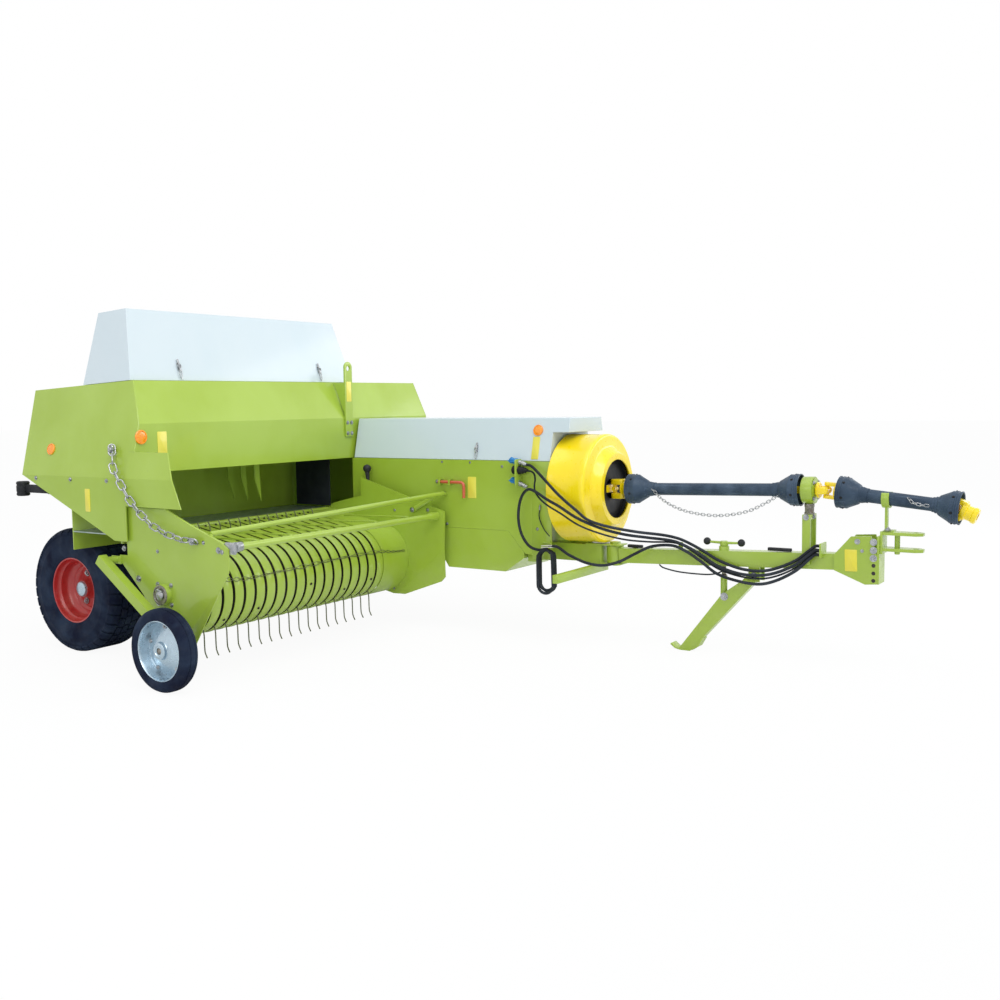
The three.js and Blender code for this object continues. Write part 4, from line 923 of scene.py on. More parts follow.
def smooth_path(points: Sequence[Point], steps: int) -> list[Triple]:
    """Points along a Catmull-Rom curve through given points.

    Args:
        points: the points that the curve goes through.
        steps: the number of steps between two of them.

    Returns:
        The curve's points.
    """
    path = [Vector(p) for p in points]
    ends = [path[0] * 2 - path[1], *path, path[-1] * 2 - path[-2]]
    made: list[Triple] = []
    for i in range(1, len(ends) - 2):
        a, b, c, d = ends[i - 1 : i + 3]
        for k in range(steps):
            t = k / steps
            square, cube = a * 2 - b * 5 + c * 4 - d, b * 3 - a - c * 3 + d
            point = b * 2 + (c - a) * t + square * t * t + cube * t * t * t
            made.append(tuple(point / 2))
    return [*made, tuple(path[-1])]


@dataclass(frozen=True)
class Bolt:
    """A bolt head's place on the machine, its size against an M10 and the way it faces."""

    at: Triple
    size: float = 1.0
    facing: Triple = RIGHT


def bolts(name: str, body: Body, places: Sequence[Bolt], finish: Finish = Finish.ZINC) -> None:
    """Hexagon bolts at given places, as one piece.

    Args:
        name: the piece's name.
        body: the body that they ride on.
        places: where they are.
        finish: their finish.
    """
    mesh = bpy.data.meshes.new(name)
    mesh.from_pydata([metres(b.at) for b in places], [], [])
    facing = mesh.attributes.new("facing", "FLOAT_VECTOR", "POINT")
    facing.data.foreach_set("vector", [c for b in places for c in b.facing])
    size = mesh.attributes.new("size", "FLOAT", "POINT")
    size.data.foreach_set("value", [b.size for b in places])
    placed(Repeat.BOLTS.apply(mesh, name, finish), name, body, finish)


# ---------------------------------------------------------------- studio


@dataclass(frozen=True)
class Softbox:
    """A rectangular lamp."""

    name: str
    at: Triple
    aim: Triple
    size: Pair
    power: float


@dataclass
class Studio:
    """Camera, floor and light."""

    camera_at: Triple = (3775, -4785, 1350)
    azimuth: float = 33.0826
    pitch: float = -5.0144
    roll: float = 0.7828
    lens: float = 40.255
    floor_half: float = 60000
    sun_angle: float = 34
    sun_strength: float = 1.0
    sky_strength: float = 0.62
    softboxes: tuple[Softbox, ...] = (
        Softbox("overhead", (600, -600, 6500), (-300, 200, 800), (7.0, 5.0), 125),
        Softbox("far_side", (5200, 6200, 3600), (-800, 200, 1300), (6.0, 3.0), 150),
        Softbox("near_side", (900, -4300, 2600), (200, 500, 950), (3.0, 2.0), 24),
    )

    def camera(self) -> None:
        """The camera, turned by azimuth, pitch and roll."""
        azimuth, pitch, roll = (math.radians(a) for a in (self.azimuth, self.pitch, self.roll))
        forward = Vector(
            (-math.sin(azimuth) * math.cos(pitch), math.cos(azimuth) * math.cos(pitch), math.sin(pitch)),
        )
        level = Vector((math.cos(azimuth), math.sin(azimuth), 0))
        down = forward.cross(level)
        right = level * math.cos(roll) + down * math.sin(roll)
        under = down * math.cos(roll) - level * math.sin(roll)
        turn = Matrix((right, -under, -forward)).transposed().to_4x4()
        data = bpy.data.cameras.new("studio_camera")
        data.lens = self.lens
        data.sensor_width = 36
        data.clip_end = 200
        camera = linked("studio_camera", data)
        camera.matrix_world = Matrix.Translation(metres(self.camera_at)) @ turn
        bpy.context.scene.camera = camera

    def floor(self) -> None:
        """A level floor under the machine and all round it."""
        half = self.floor_half * MM
        mesh = bpy.data.meshes.new("studio_floor")
        mesh.from_pydata(
            [(-half, -half, 0), (half, -half, 0), (half, half, 0), (-half, half, 0)], [], [(0, 1, 2, 3)],
        )
        mesh.materials.append(Ground("studio_ground", (0.86, 0.86, 0.86)).build())
        linked("studio_floor", mesh)

    def sky(self) -> None:
        """A soft plain sky, which the camera and reflections see as white."""
        world = bpy.data.worlds.new("studio_sky")
        bpy.context.scene.world = world
        world.use_nodes = True
        n = Nodes(world.node_tree)
        light = {"Color": (0.93, 0.97, 1.0, 1), "Strength": self.sky_strength}
        backgrounds = [n.first("ShaderNodeBackground", given) for given in (light, {"Color": (1, 1, 1, 1)})]
        path = n.node("ShaderNodeLightPath").outputs
        rays = {0: path["Is Camera Ray"], 1: path["Is Glossy Ray"]}
        mirrored = n.first("ShaderNodeMath", rays, operation="MAXIMUM")
        both = n.first("ShaderNodeMixShader", {0: mirrored, 1: backgrounds[0], 2: backgrounds[1]})
        n.node("ShaderNodeOutputWorld", {"Surface": both})

    def lamp(self, name: str, data: bpy.types.Light, way: Vector) -> bpy.types.Object:
        """A lamp that shines along a way."""
        lamp = linked(name, data)
        lamp.rotation_mode = "QUATERNION"
        lamp.rotation_quaternion = way.to_track_quat("-Z", "Y")
        return lamp

    def lamps(self) -> None:
        """The broad sun and the softboxes."""
        sun = bpy.data.lights.new("broad_sun", "SUN")
        sun.energy = self.sun_strength
        sun.angle = math.radians(self.sun_angle)
        self.lamp("broad_sun", sun, Vector((-0.62, 0.34, -0.78)))
        for box in self.softboxes:
            light = bpy.data.lights.new(box.name, "AREA")
            light.shape = "RECTANGLE"
            light.size, light.size_y = box.size
            light.energy = box.power
            self.lamp(box.name, light, Vector(box.aim) - Vector(box.at)).location = metres(box.at)

    def build(self) -> None:
        """Everything that isn't the machine."""
        self.camera()
        self.floor()
        self.sky()
        self.lamps()
        bpy.context.scene.view_settings.view_transform = "Standard"


# ---------------------------------------------------------------- hoses and cable


@dataclass(frozen=True)
class Route:
    """A hose or cable: the points it runs through, its thickness and its real length in metres."""

    node: str
    radius: float
    length: float
    points: tuple[Triple, ...]


@dataclass
class Hoses:
    """The hydraulic hoses, the spare length hung by its tie and the lighting cable."""

    steps: int = 9
    sides: int = 14
    bend_from: Triple = (760, 765, 700)
    bend_to: Triple = (1320, 765, 600)
    routes: tuple[Route, ...] = (
        Route("hose_upper", 8, 1.863, (
            (513.4, 499, 999.9), (543, 498, 993), (600, 470, 963), (678, 438, 911), (764, 430, 838),
            (858, 440, 764), (922, 458, 713), (1016, 505, 678), (1137, 590, 648), (1250, 676, 628),
            (1322, 706, 612), (1380, 712, 592), (1466, 708, 555), (1560, 704, 508), (1680, 700, 473),
            (1790, 698, 468), (1880, 698, 490), (1975, 700, 535), (2036, 700, 584), (2070, 710, 611),
            (2095, 712, 612),
        )),
        Route("hose_loop", 8, 2.28, (
            (652, 476, 545), (600, 482, 530), (536, 480, 548), (487, 480, 610), (468, 478, 690),
            (474, 476, 770), (500, 470, 832), (545, 458, 866), (600, 442, 858), (680, 428, 820),
            (760, 424, 784), (866, 440, 722), (975, 498, 668), (1078, 568, 633), (1180, 650, 612),
            (1300, 690, 598), (1380, 698, 572), (1466, 694, 532), (1560, 690, 480), (1680, 688, 448),
            (1790, 686, 447), (1880, 686, 468), (1975, 686, 514), (2036, 686, 563), (2070, 696, 592),
            (2095, 698, 593),
        )),
        Route("hose_lower", 8, 1.6, (
            (668, 470, 556), (724, 466, 556), (800, 460, 518), (898, 472, 480), (978, 512, 466),
            (1050, 566, 484), (1116, 626, 524), (1190, 676, 562), (1300, 692, 572), (1380, 694, 546),
            (1466, 690, 498), (1560, 688, 438), (1680, 686, 408), (1790, 684, 402), (1880, 684, 428),
            (1975, 684, 482), (2036, 686, 538), (2070, 698, 569), (2095, 700, 570),
        )),
        Route("light_cable", 5, 1.9, (
            (520.4, 497, 966), (545, 496, 963), (566, 490, 950), (577, 482, 922), (577, 474, 892),
            (588, 462, 856), (625, 448, 820), (680, 436, 786), (760, 436, 746), (866, 452, 684),
            (975, 508, 636), (1078, 578, 604), (1180, 664, 588), (1300, 708, 586), (1380, 712, 562),
            (1466, 706, 514), (1560, 704, 462), (1680, 700, 432), (1790, 698, 428), (1880, 698, 450),
            (1975, 700, 498), (2036, 702, 548), (2070, 713, 582), (2095, 715, 583),
        )),
    )
    hank_x: float = 645
    hank_reach: float = 48
    hank_top: float = 484
    hank_turns: tuple[Pair, ...] = ((466, 341), (482, 356), (498, 348))

    def hose(self, name: str, node: str, line: Sequence[Triple], radius: float) -> bpy.types.Object:
        """A round hose along a line of ring centres.

        Args:
            name: the piece's name.
            node: the CAD node that it stands for.
            line: the centre of each ring.
            radius: the hose's radius.

        Returns:
            The hose.
        """
        shape = Shape()
        shape.tube(line, radius, self.sides)
        return shape.piece(name, None, Finish.HOSE, node)

    def strand(self, route: Route) -> None:
        """One hose on its route, bending between the housing and the tongue."""
        line = smooth_path(route.points, self.steps)
        hose = self.hose(route.node + "_strand", route.node, line, route.radius)
        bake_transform(hose, Body.CHASSIS.value, Body.TONGUE.value, metres(self.bend_from), metres(self.bend_to))

    def hank_line(self) -> list[Triple]:
        """The centre line of the spare hose: hanging ovals side by side, from the tie and back."""
        x, reach, top = self.hank_x, self.hank_reach, self.hank_top

        def at(degrees: float, y: float, z: float) -> Triple:
            turn = math.radians(degrees)
            return (x + reach * math.cos(turn), y, z + reach * math.sin(turn))

        first = self.hank_turns[0][0]
        line = [(x + 7, 474, 541), *(at(d, first, top) for d in (50, 25))]
        for k, (y, low) in enumerate(self.hank_turns):
            last = k + 1 == len(self.hank_turns)
            step = 0 if last else self.hank_turns[k + 1][0] - y
            line += [at(d, y, low) for d in range(0, -181, -20)]
            line += [at(d, y + step * (180 - d) / 180, top) for d in range(180, 99 if last else 19, -20)]
        return line

    def hank(self) -> None:
        """The spare hose, wound up and hung on its hook."""
        line = smooth_path(self.hank_line(), 3)
        hank = self.hose("spare_hose_turns", "hose_hank", line, 8)
        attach(hank, Body.CHASSIS.value)

    def build(self) -> None:
        """All the cords."""
        for route in self.routes:
            self.strand(route)
        self.hank()


# ---------------------------------------------------------------- sheet metal


@dataclass(frozen=True)
class Panel:
    """A CAD node whose shape stays and whose edges are rounded as a folded or cut sheet's are."""

    node: str
    finish: Finish = Finish.GREEN
    radius: float = 1.4
    segments: int = 2


def keep_folds(mesh: bpy.types.Mesh, least_bend: float = 2, least_width: float = 0.05) -> None:
    """Keeps broad faces flat up to their edges, where a small bend would be shaded round.

    Args:
        mesh: the finished mesh, in metres.
        least_bend: the least bend that is kept, in degrees.
        least_width: how broad a face is at least, in metres.
    """
    work = bmesh.new()
    work.from_mesh(mesh)
    broad = {
        f.index for f in work.faces if f.calc_area() > least_width * max(e.calc_length() for e in f.edges)
    }
    for edge in work.edges:
        beside = edge.link_faces
        folded = len(beside) == 2 and edge.calc_face_angle(0) > math.radians(least_bend)
        if folded and any(f.index in broad for f in beside):
            edge.smooth = False
    work.to_mesh(mesh)
    work.free()


@dataclass
class Bodywork:
    """Hood, covers, chamber, frame and every other panel that keeps its CAD shape."""

    panels: tuple[Panel, ...] = (
        *(Panel(n) for n in (
            "hood_front", "hood_rear", "hood_top", "hood_end_right", "hood_end_left", "side_deflector",
            "lifting_plate",
            "chamber_floor", "chamber_wall_left", "chamber_wall_right", "chamber_roof", "housing_wall_right",
            "housing_wall_left", "feeder_back", "feeder_fork", "pickup_plate_right", "pickup_plate_left",
            "nose_frame", "axle_frame", "hitch_head", "hitch_clevis",
        )),
        Panel("underbody_box", radius=6, segments=3),
        Panel("twine_box", radius=5, segments=3),
        Panel("tongue_beam", radius=5, segments=3),
        Panel("stand_leg", radius=2.5),
        Panel("gauge_arm", radius=4, segments=3),
        Panel("pto_bearing_stand", radius=2),
        Panel("top_cover", Finish.COVER, 2.6, 3),
        Panel("front_cover", Finish.COVER, 2.6, 3),
        Panel("feeder_floor", Finish.FLOOR_ZINC, 1),
        Panel("feed_curtain", Finish.CURTAIN, 1.5),
        Panel("drive_block", Finish.STEEL, 4, 3),
        Panel("tension_crank_right", Finish.STEEL, 1),
        Panel("tension_crank_left", Finish.STEEL, 1),
        Panel("flywheel", Finish.DARK_STEEL, 3),
    )

    def dress(self, panel: Panel) -> None:
        """A copy of a CAD node with its coplanar faces joined and its edges rounded."""
        shape = Shape()
        shape.mesh.from_mesh(frame["nodes"][panel.node].data)
        bmesh.ops.scale(shape.mesh, vec=(1 / MM, 1 / MM, 1 / MM), verts=shape.mesh.verts[:])
        bmesh.ops.remove_doubles(shape.mesh, verts=shape.mesh.verts[:], dist=0.02)
        bmesh.ops.dissolve_limit(
            shape.mesh, angle_limit=math.radians(0.6), verts=shape.mesh.verts[:], edges=shape.mesh.edges[:],
        )
        shape.rounded(panel.radius, panel.segments, 32)
        name = panel.node + "_sheet"
        mesh = shape.made(name)
        keep_folds(mesh)
        placed(mesh, name, body_of_node(panel.node), panel.finish, panel.node)

    def build(self) -> None:
        """Every panel."""
        for panel in self.panels:
            self.dress(panel)


# ---------------------------------------------------------------- shared forms


def arc(centre: Pair, radius: float, start: float, end: float, steps: int) -> list[Pair]:
    """Points along an arc, with its angles in degrees."""
    turns = (math.radians(start + (end - start) * k / steps) for k in range(steps + 1))
    return [(centre[0] + radius * math.cos(t), centre[1] + radius * math.sin(t)) for t in turns]


def ring_places(centre: Pair, radius: float, count: int, start: float) -> list[Pair]:
    """Places at even steps round a centre, the first at an angle in degrees."""
    return arc(centre, radius, start, start + 360, count)[:-1]


def rounded_rectangle(width: float, height: float, corner: float, steps: int = 4) -> list[Pair]:
    """The outline of a rectangle with rounded corners, about its middle."""
    a, b = width / 2 - corner, height / 2 - corner
    corners = (((a, b), 0), ((-a, b), 90), ((-a, -b), 180), ((a, -b), 270))
    return [p for centre, start in corners for p in arc(centre, corner, start, start + 90, steps)]


def facing(at: Triple, across: Triple, normal: Triple) -> Matrix:
    """The matrix that lays a drawing in X and Y on a surface.

    Args:
        at: the point that the drawing's middle lands on.
        across: the way its X points; what of it leaves the surface is taken off.
        normal: the way the surface faces.

    Returns:
        The matrix, in millimetres.
    """
    out = Vector(normal).normalized()
    side = Vector(across)
    side = (side - out * side.dot(out)).normalized()
    up = out.cross(side)
    return Matrix.Translation(at) @ Matrix((side, up, out)).transposed().to_4x4()


@dataclass(frozen=True)
class Plate:
    """A blank sticker on a panel."""

    name: str
    body: Body
    at: Triple
    across: Triple
    normal: Triple
    size: Pair
    corner: float = 5
    thickness: float = 1.2

    def build(self) -> None:
        """The plate, with rounded corners and a soft edge."""
        shape = Shape()
        shape.slab(self.size, self.corner, (0, self.thickness), facing(self.at, self.across, self.normal))
        shape.rounded(min(0.5, self.thickness / 3), 2, 60)
        shape.piece(self.name, self.body, Finish.LABEL)


@dataclass(frozen=True)
class Reflector:
    """A round reflector: a domed lens in a rim of the same plastic."""

    name: str
    body: Body
    at: Triple
    normal: Triple
    radius: float = 30

    def build(self) -> None:
        """The rim and the lens in it."""
        lay = facing(self.at, (0.2, 0.3, 1), self.normal)
        r = self.radius
        rim, lens = Shape(), Shape()
        rim.lathe(
            Axis.Z, [(r - 3, 0), (r + 3, 0), (r + 3, 5), (r + 1, 7), (r - 2, 7), (r - 3, 5)], (0, 0, 0),
        )
        rim.turn_all(lay)
        dome = [(0, 7.6), (r * 0.5, 7.0), (r * 0.85, 5.6), (r - 2.6, 4), (r - 2.6, 1), (0, 1)]
        lens.lathe(Axis.Z, dome, (0, 0, 0))
        lens.turn_all(lay)
        rim.piece(self.name + "_rim", self.body, Finish.LENS)
        lens.piece(self.name, self.body, Finish.LENS)


# ---------------------------------------------------------------- wheels


@dataclass
class MainWheel:
    """An implement wheel: a broad tyre with shoulder blocks and centre ribs on a red dished rim."""

    name: str
    body: Body
    middle: float
    outward: float
    axle: Pair = (-1542, 345)
    radius: float = 345
    groove: float = 8
    half: float = 135
    bead: float = 178
    blocks: int = 36
    gap: float = 1.3
    rim: float = 178
    flat: float = 84
    shoulder_drop: float = 44
    shoulder_power: float = 2.4
    nut_circle: float = 84

    @property
    def centre(self) -> Triple:
        """The middle of the wheel."""
        return (self.axle[0], self.middle, self.axle[1])

    def crown(self, across: float) -> float:
        """The radius of the tread's face at a distance from the tyre's middle."""
        past = min(1.0, max(0.0, abs(across) - self.flat) / (self.half - self.flat))
        return self.radius - 1 - self.shoulder_drop * (1 - math.sqrt(1 - past**self.shoulder_power))

    def carcass(self) -> None:
        """The tyre's casing: round sidewalls with mould rings, under the tread."""
        h, b = self.half, self.bead + 0.6
        side = [
            (b, h - 24), (b + 4, h - 15), (b + 12, h - 10), (b + 16, h - 10), (b + 20, h - 6),
            (b + 38, h - 2), (b + 62, h - 0.5), (b + 84, h - 0.5), (b + 86, h), (b + 92, h), (b + 94, h - 1),
            (b + 108, h - 3),
        ]
        tread = [(self.crown(y) - self.groove, y) for y in (h - 9, h - 18, h - 30, self.flat, 60, 0)]
        half = [*side, *tread[:-1]]
        profile = [*half, tread[-1], *((x, -s) for x, s in reversed(half))]
        shape = Shape()
        shape.lathe(Axis.Y, profile, self.centre, 96)
        name = f"tyre_{self.name}"
        shape.piece(name + "_casing", self.body, Finish.TYRE, name)

    def pad(self, shape: Shape, across: Pair, shift: float, lean: float) -> None:
        """One tread block, bent over the crown, at the bottom of the wheel.

        Args:
            shape: the shape that it is added to.
            across: its near and far edge from the tyre's middle.
            shift: its middle's angle, in degrees.
            lean: how far its far edge is turned past its near one, in degrees.
        """
        half_angle = (360 / self.blocks - self.gap) / 2
        rows = []
        for k in range(6):
            y = across[0] + (across[1] - across[0]) * k / 5
            top = self.crown(y)
            turn = shift + lean * k / 5
            ring = []
            foot, edge = top - self.groove - 3, half_angle - 0.25
            corners = ((foot, -half_angle), (top, -edge), (top, 0), (top, edge), (foot, half_angle))
            for radius, angle in corners:
                t = math.radians(turn + angle)
                x, z = self.axle[0] + radius * math.sin(t), self.axle[1] - radius * math.cos(t)
                ring.append((x, self.middle + y, z))
            rows.append(ring)
        shape.loft(rows)

    def tread(self) -> None:
        """Staggered rows of blocks: two over the shoulders and three along the middle."""
        shape = Shape()
        pitch = 360 / self.blocks
        for across, shift, lean in (
            ((68, self.half - 5), 0, 1.2), ((-68, 5 - self.half), 0.5, 1.2), ((24, 60), 0.5, 1.6),
            ((-24, -60), 0, 1.6), ((-17, 17), 0.25, 0),
        ):
            self.pad(shape, across, shift * pitch, lean)
        name = f"tread_{self.name}"
        Repeat.TURN.piece(
            shape.made(name), name, self.body, Finish.TYRE,
            Count=self.blocks, Centre=metres(self.centre), Axis=(0.0, 1.0, 0.0),
        )

    def dish(self) -> None:
        """The rim and its stepped disc as one turned section."""
        s, r = self.outward, self.rim
        outer = [
            (r + 2, -118), (r + 7, -114), (r + 7, -111), (r - 1, -106), (r - 2, -92), (r - 12, -84),
            (r - 14, -50), (r - 14, 50), (r - 12, 84), (r - 2, 92), (r - 1, 106), (r + 7, 111), (r + 7, 114),
            (r + 2, 118),
        ]
        inner = [
            (r - 4, 116), (r - 6, 104), (r - 8, 90), (r - 18, 80), (r - 20, 52), (r - 24, 40), (r - 34, 30),
            (r - 46, 26), (r - 52, 18), (r - 66, 15), (r - 72, 8), (r - 100, 6), (r - 118, 9), (40, 10),
            (40, 2), (r - 118, 1), (r - 100, -2), (r - 70, 0), (r - 50, 10), (r - 32, 22), (r - 20, 30),
            (r - 20, -78), (r - 8, -90), (r - 6, -104), (r - 4, -116),
        ]
        shape = Shape()
        shape.lathe(Axis.Y, [(a, s * b) for a, b in (*outer, *inner)], self.centre, 96)
        name = f"rim_{self.name}"
        shape.piece(name + "_dish", self.body, Finish.RED, name)

    def hub(self) -> None:
        """The hub with its grease cap, and the wheel's nuts."""
        s = self.outward
        hub, cap = Shape(), Shape()
        hub.lathe(
            Axis.Y,
            [
                (31, s * -24), (60, s * -24), (62, s * 10), (62, s * 16), (54, s * 20), (47, s * 34),
                (47, s * 60), (31, s * 60),
            ],
            self.centre, 40,
        )
        hub.piece(f"hub_{self.name}", self.body, Finish.RED)
        cap.lathe(
            Axis.Y,
            [
                (0, s * 77), (26, s * 76), (38, s * 71), (43, s * 62), (43, s * 50), (46, s * 50),
                (46, s * 44), (0, s * 44),
            ],
            self.centre, 40,
        )
        cap.piece(f"hub_cap_{self.name}", self.body, Finish.DISH)
        face = self.middle + s * 9
        nuts = [
            Bolt((x, face, z), 1.35, (0, s, 0)) for x, z in ring_places(self.axle, self.nut_circle, 5, 30)
        ]
        bolts(f"wheel_nuts_{self.name}", self.body, nuts)

    def build(self) -> None:
        """The whole wheel."""
        self.carcass()
        self.tread()
        self.dish()
        self.hub()


@dataclass
class GaugeWheel:
    """The pickup's gauge wheel: a plain tyre on a dished galvanised rim, and its axle end."""

    centre: Triple = (-410, -1290, 201)
    radius: float = 201
    half: float = 45
    bead: float = 144

    def tyre(self) -> None:
        """The tyre, with two shallow rings round its tread."""
        r, h, b = self.radius, self.half, self.bead + 0.6
        side = [
            (b, h - 12), (b + 3, h - 5), (b + 10, h - 2), (b + 22, h), (b + 34, h - 1.4), (r - 14, h - 6),
            (r - 6, h - 13), (r - 1.5, h - 22), (r - 0.4, h - 27), (r - 3, h - 28.5), (r - 3, h - 31),
            (r, h - 32.5),
        ]
        turned(
            "gauge_tyre_casing", Body.GAUGE_WHEEL, Finish.TYRE, Axis.Y,
            [*side, *((x, -s) for x, s in reversed(side))], self.centre, 80, replaces=("gauge_tyre",),
        )

    def rim(self) -> None:
        """The dish, open outwards, with a rolled edge; its hub and small bolts."""
        b = self.bead
        profile = [
            (b - 2, -38), (b + 3, -36), (b + 4, -33), (b, -31), (b - 1, -20), (b - 7, -12), (b - 7, 12),
            (b - 1, 20), (b, 31), (b + 4, 33), (b + 3, 36), (b - 2, 38), (b - 5, 34), (b - 6, 24),
            (b - 11, 14), (b - 11, -12), (b - 17, -21), (b - 30, -19), (b - 66, 4), (b - 90, 13),
            (b - 100, 16), (b - 104, 22), (b - 104, 32), (b - 108, 35), (b - 118, 35), (b - 120, 32),
            (b - 128, 32), (b - 128, -30), (b - 108, -30), (b - 106, 6), (b - 90, 9), (b - 68, 0),
            (b - 32, -23), (b - 17, -25), (b - 11, -20), (b - 6, -24), (b - 5, -34),
        ]
        turned(
            "gauge_rim_dish", Body.GAUGE_WHEEL, Finish.DISH, Axis.Y, [(r, -s) for r, s in profile],
            self.centre, 80, replaces=("gauge_rim",),
        )
        x, y, z = self.centre
        places = [Bolt((px, y + 11, pz), 0.8) for px, pz in ring_places((x, z), 112, 5, 20)]
        bolts("gauge_rim_bolts", Body.GAUGE_WHEEL, places)

    def axle_end(self) -> None:
        """The rusty end of the axle with its split pin, fixed to the arm."""
        x, y, z = self.centre
        shape = Shape()
        shape.lathe(Axis.Y, [(0, -33), (9, -33), (11, -31), (14, -30), (14, -24), (0, -24)], (x, y, z), 24)
        shape.tube([(x - 15, y - 28, z - 9), (x, y - 28, z), (x + 15, y - 28, z + 9)], 2.2, 8)
        shape.piece("gauge_axle_end", Body.PICKUP, Finish.STEEL)

    def build(self) -> None:
        """The whole wheel."""
        self.tyre()
        self.rim()
        self.axle_end()


# ---------------------------------------------------------------- pickup


@dataclass
class Pickup:
    """Stripper bands, tined reel, crop rods, windguard and the fittings on the side plates."""

    right_face: float = -1131
    left_face: float = 478
    first_tine: float = -1075
    pitch: float = 73.4
    tines: int = 18
    nose: Pair = (-512, 423)
    nose_radius: float = 205
    band_width: float = 55
    hinge: Pair = (-930, 698)
    reel: Pair = (-580, 429)
    disc: float = 198
    tine_bar: Pair = (159, -103)
    front_tube: Pair = (-95, 690)
    rods_at: tuple[float, ...] = (1.4, 4.6, 7.4, 10.35, 13.6, 17.4)

    @property
    def inner_right(self) -> float:
        """The inner face of the right plate, with its gap."""
        return self.right_face + 6.4

    @property
    def inner_left(self) -> float:
        """The inner face of the left plate, with its gap."""
        return self.left_face - 6.4

    def band_line(self, depth: float) -> list[Pair]:
        """The side profile of a band, at a depth under its outer face."""
        r = self.nose_radius - depth
        return [(-888, 704 - depth), *arc(self.nose, r, 78, -90, 28), (-660, self.nose[1] - r)]

    def band(self, y: Pair, crown: float) -> Shape:
        """A band between two planes, its face a little crowned.

        Args:
            y: where its edges lie.
            crown: how much higher its middle is than its edges.

        Returns:
            The band's shape.
        """
        steps, wall = 6, 2.5
        shape = Shape()
        across = [
            (y[0] + (y[1] - y[0]) * k / steps, crown * (2 * k / steps - 1) ** 2) for k in range(steps + 1)
        ]
        inner = [(y[1], crown + wall), (y[0], crown + wall)]
        return self.along_nose(shape, (*across, *inner))

    def channel(self, y: Pair) -> Shape:
        """A dark channel behind a band, open inwards: painted shade that darkens the slots between the bands."""
        top, wall, flange = 7, 2.5, 30
        a, b = y[0] + 1.5, y[1] - 1.5
        section = [
            (a, top), (b, top), (b, flange), (b - wall, flange), (b - wall, top + wall),
            (a + wall, top + wall), (a + wall, flange), (a, flange),
        ]
        return self.along_nose(Shape(), section)

    def along_nose(self, shape: Shape, section: Sequence[Pair]) -> Shape:
        """Draws a section of (y, depth) along the band's side profile."""
        lines = [(place, self.band_line(drop)) for place, drop in section]
        count = len(lines[0][1])
        shape.loft([[(line[i][0], place, line[i][1]) for place, line in lines] for i in range(count)])
        return shape

    def bands(self) -> None:
        """Every band, the dark channels behind them that paint the shade in the slots, the smooth shell at the
        left end, and the sill and hinge tube behind them.
        """
        half = self.band_width / 2
        first = self.first_tine + self.pitch / 2
        one = self.band((first - half, first + half), 4)
        row = {"Count": self.tines, "Step": metres((0, self.pitch, 0))}
        Repeat.ROW.piece(
            one.made("band"), "stripper_band_row", Body.PICKUP, Finish.GREEN, "stripper_bands", **row,
        )
        # Dark channels behind the bands: painted shade in the slots between them.
        behind = self.channel((first - half, first + half)).made("channel")
        Repeat.ROW.piece(behind, "band_channels", Body.PICKUP, Finish.DARK_STEEL, **row)
        edge = self.band((self.inner_right, self.first_tine - self.pitch / 2 + half), 0.6)
        edge.piece("stripper_band_edge", Body.PICKUP, Finish.GREEN)
        start = self.first_tine + (self.tines - 0.5) * self.pitch + half
        shell = self.band((start, self.inner_left), 0)
        shell.piece("stripper_shell", Body.PICKUP, Finish.GREEN)
        x, z = self.hinge
        back = Shape()
        back.box((-903, -887), (self.inner_right, self.inner_left), (660, 703.6))
        back.rounded(3, 2)
        back.tube([(x, self.inner_right, z), (x, self.inner_left, z)], 15, 24)
        for y in (self.inner_right + 4, -500, 100, self.inner_left - 10):
            back.box((x, -895), (y, y + 6), (686, 702))
        back.piece("stripper_sill", Body.PICKUP, Finish.GREEN)
        screws = []
        for k in range(self.tines):
            y = self.first_tine + (k + 0.5) * self.pitch
            screws += [Bolt((-862, y, 699.5), 0.6, (0.19, 0, 0.98))]
        r = self.nose_radius - 2
        for k, degrees in ((1, -38), (4, -30), (9, -8), (13, -30), (16, -22)):
            t = math.radians(degrees)
            at = (
                self.nose[0] + r * math.cos(t), self.first_tine + (k + 0.5) * self.pitch,
                self.nose[1] + r * math.sin(t),
            )
            screws.append(Bolt(at, 0.7, (math.cos(t), 0, math.sin(t))))
        bolts("band_screws", Body.PICKUP, screws, Finish.DARK_STEEL)

    def tine_path(self) -> list[Triple]:
        """One sprung tine at the first plane: its coil round the bar, then the bent wire to its tip."""
        bx, bz = self.reel[0] + self.tine_bar[0], self.reel[1] + self.tine_bar[1]
        turns, coil = 2.5, 13.5
        steps = int(turns * 14)
        line = []
        for k in range(steps + 1):
            t = math.radians(-32) - 2 * math.pi * turns * (1 - k / steps)
            line.append(
                (bx + coil * math.cos(t), self.first_tine - 18 + 18 * k / steps, bz + coil * math.sin(t)),
            )
        straight = [(30, -44), (44, -68), (48, -92), (48.5, -150), (50, -172), (56, -186), (65, -201)]
        return line + [(bx + x, self.first_tine, bz + z) for x, z in straight]

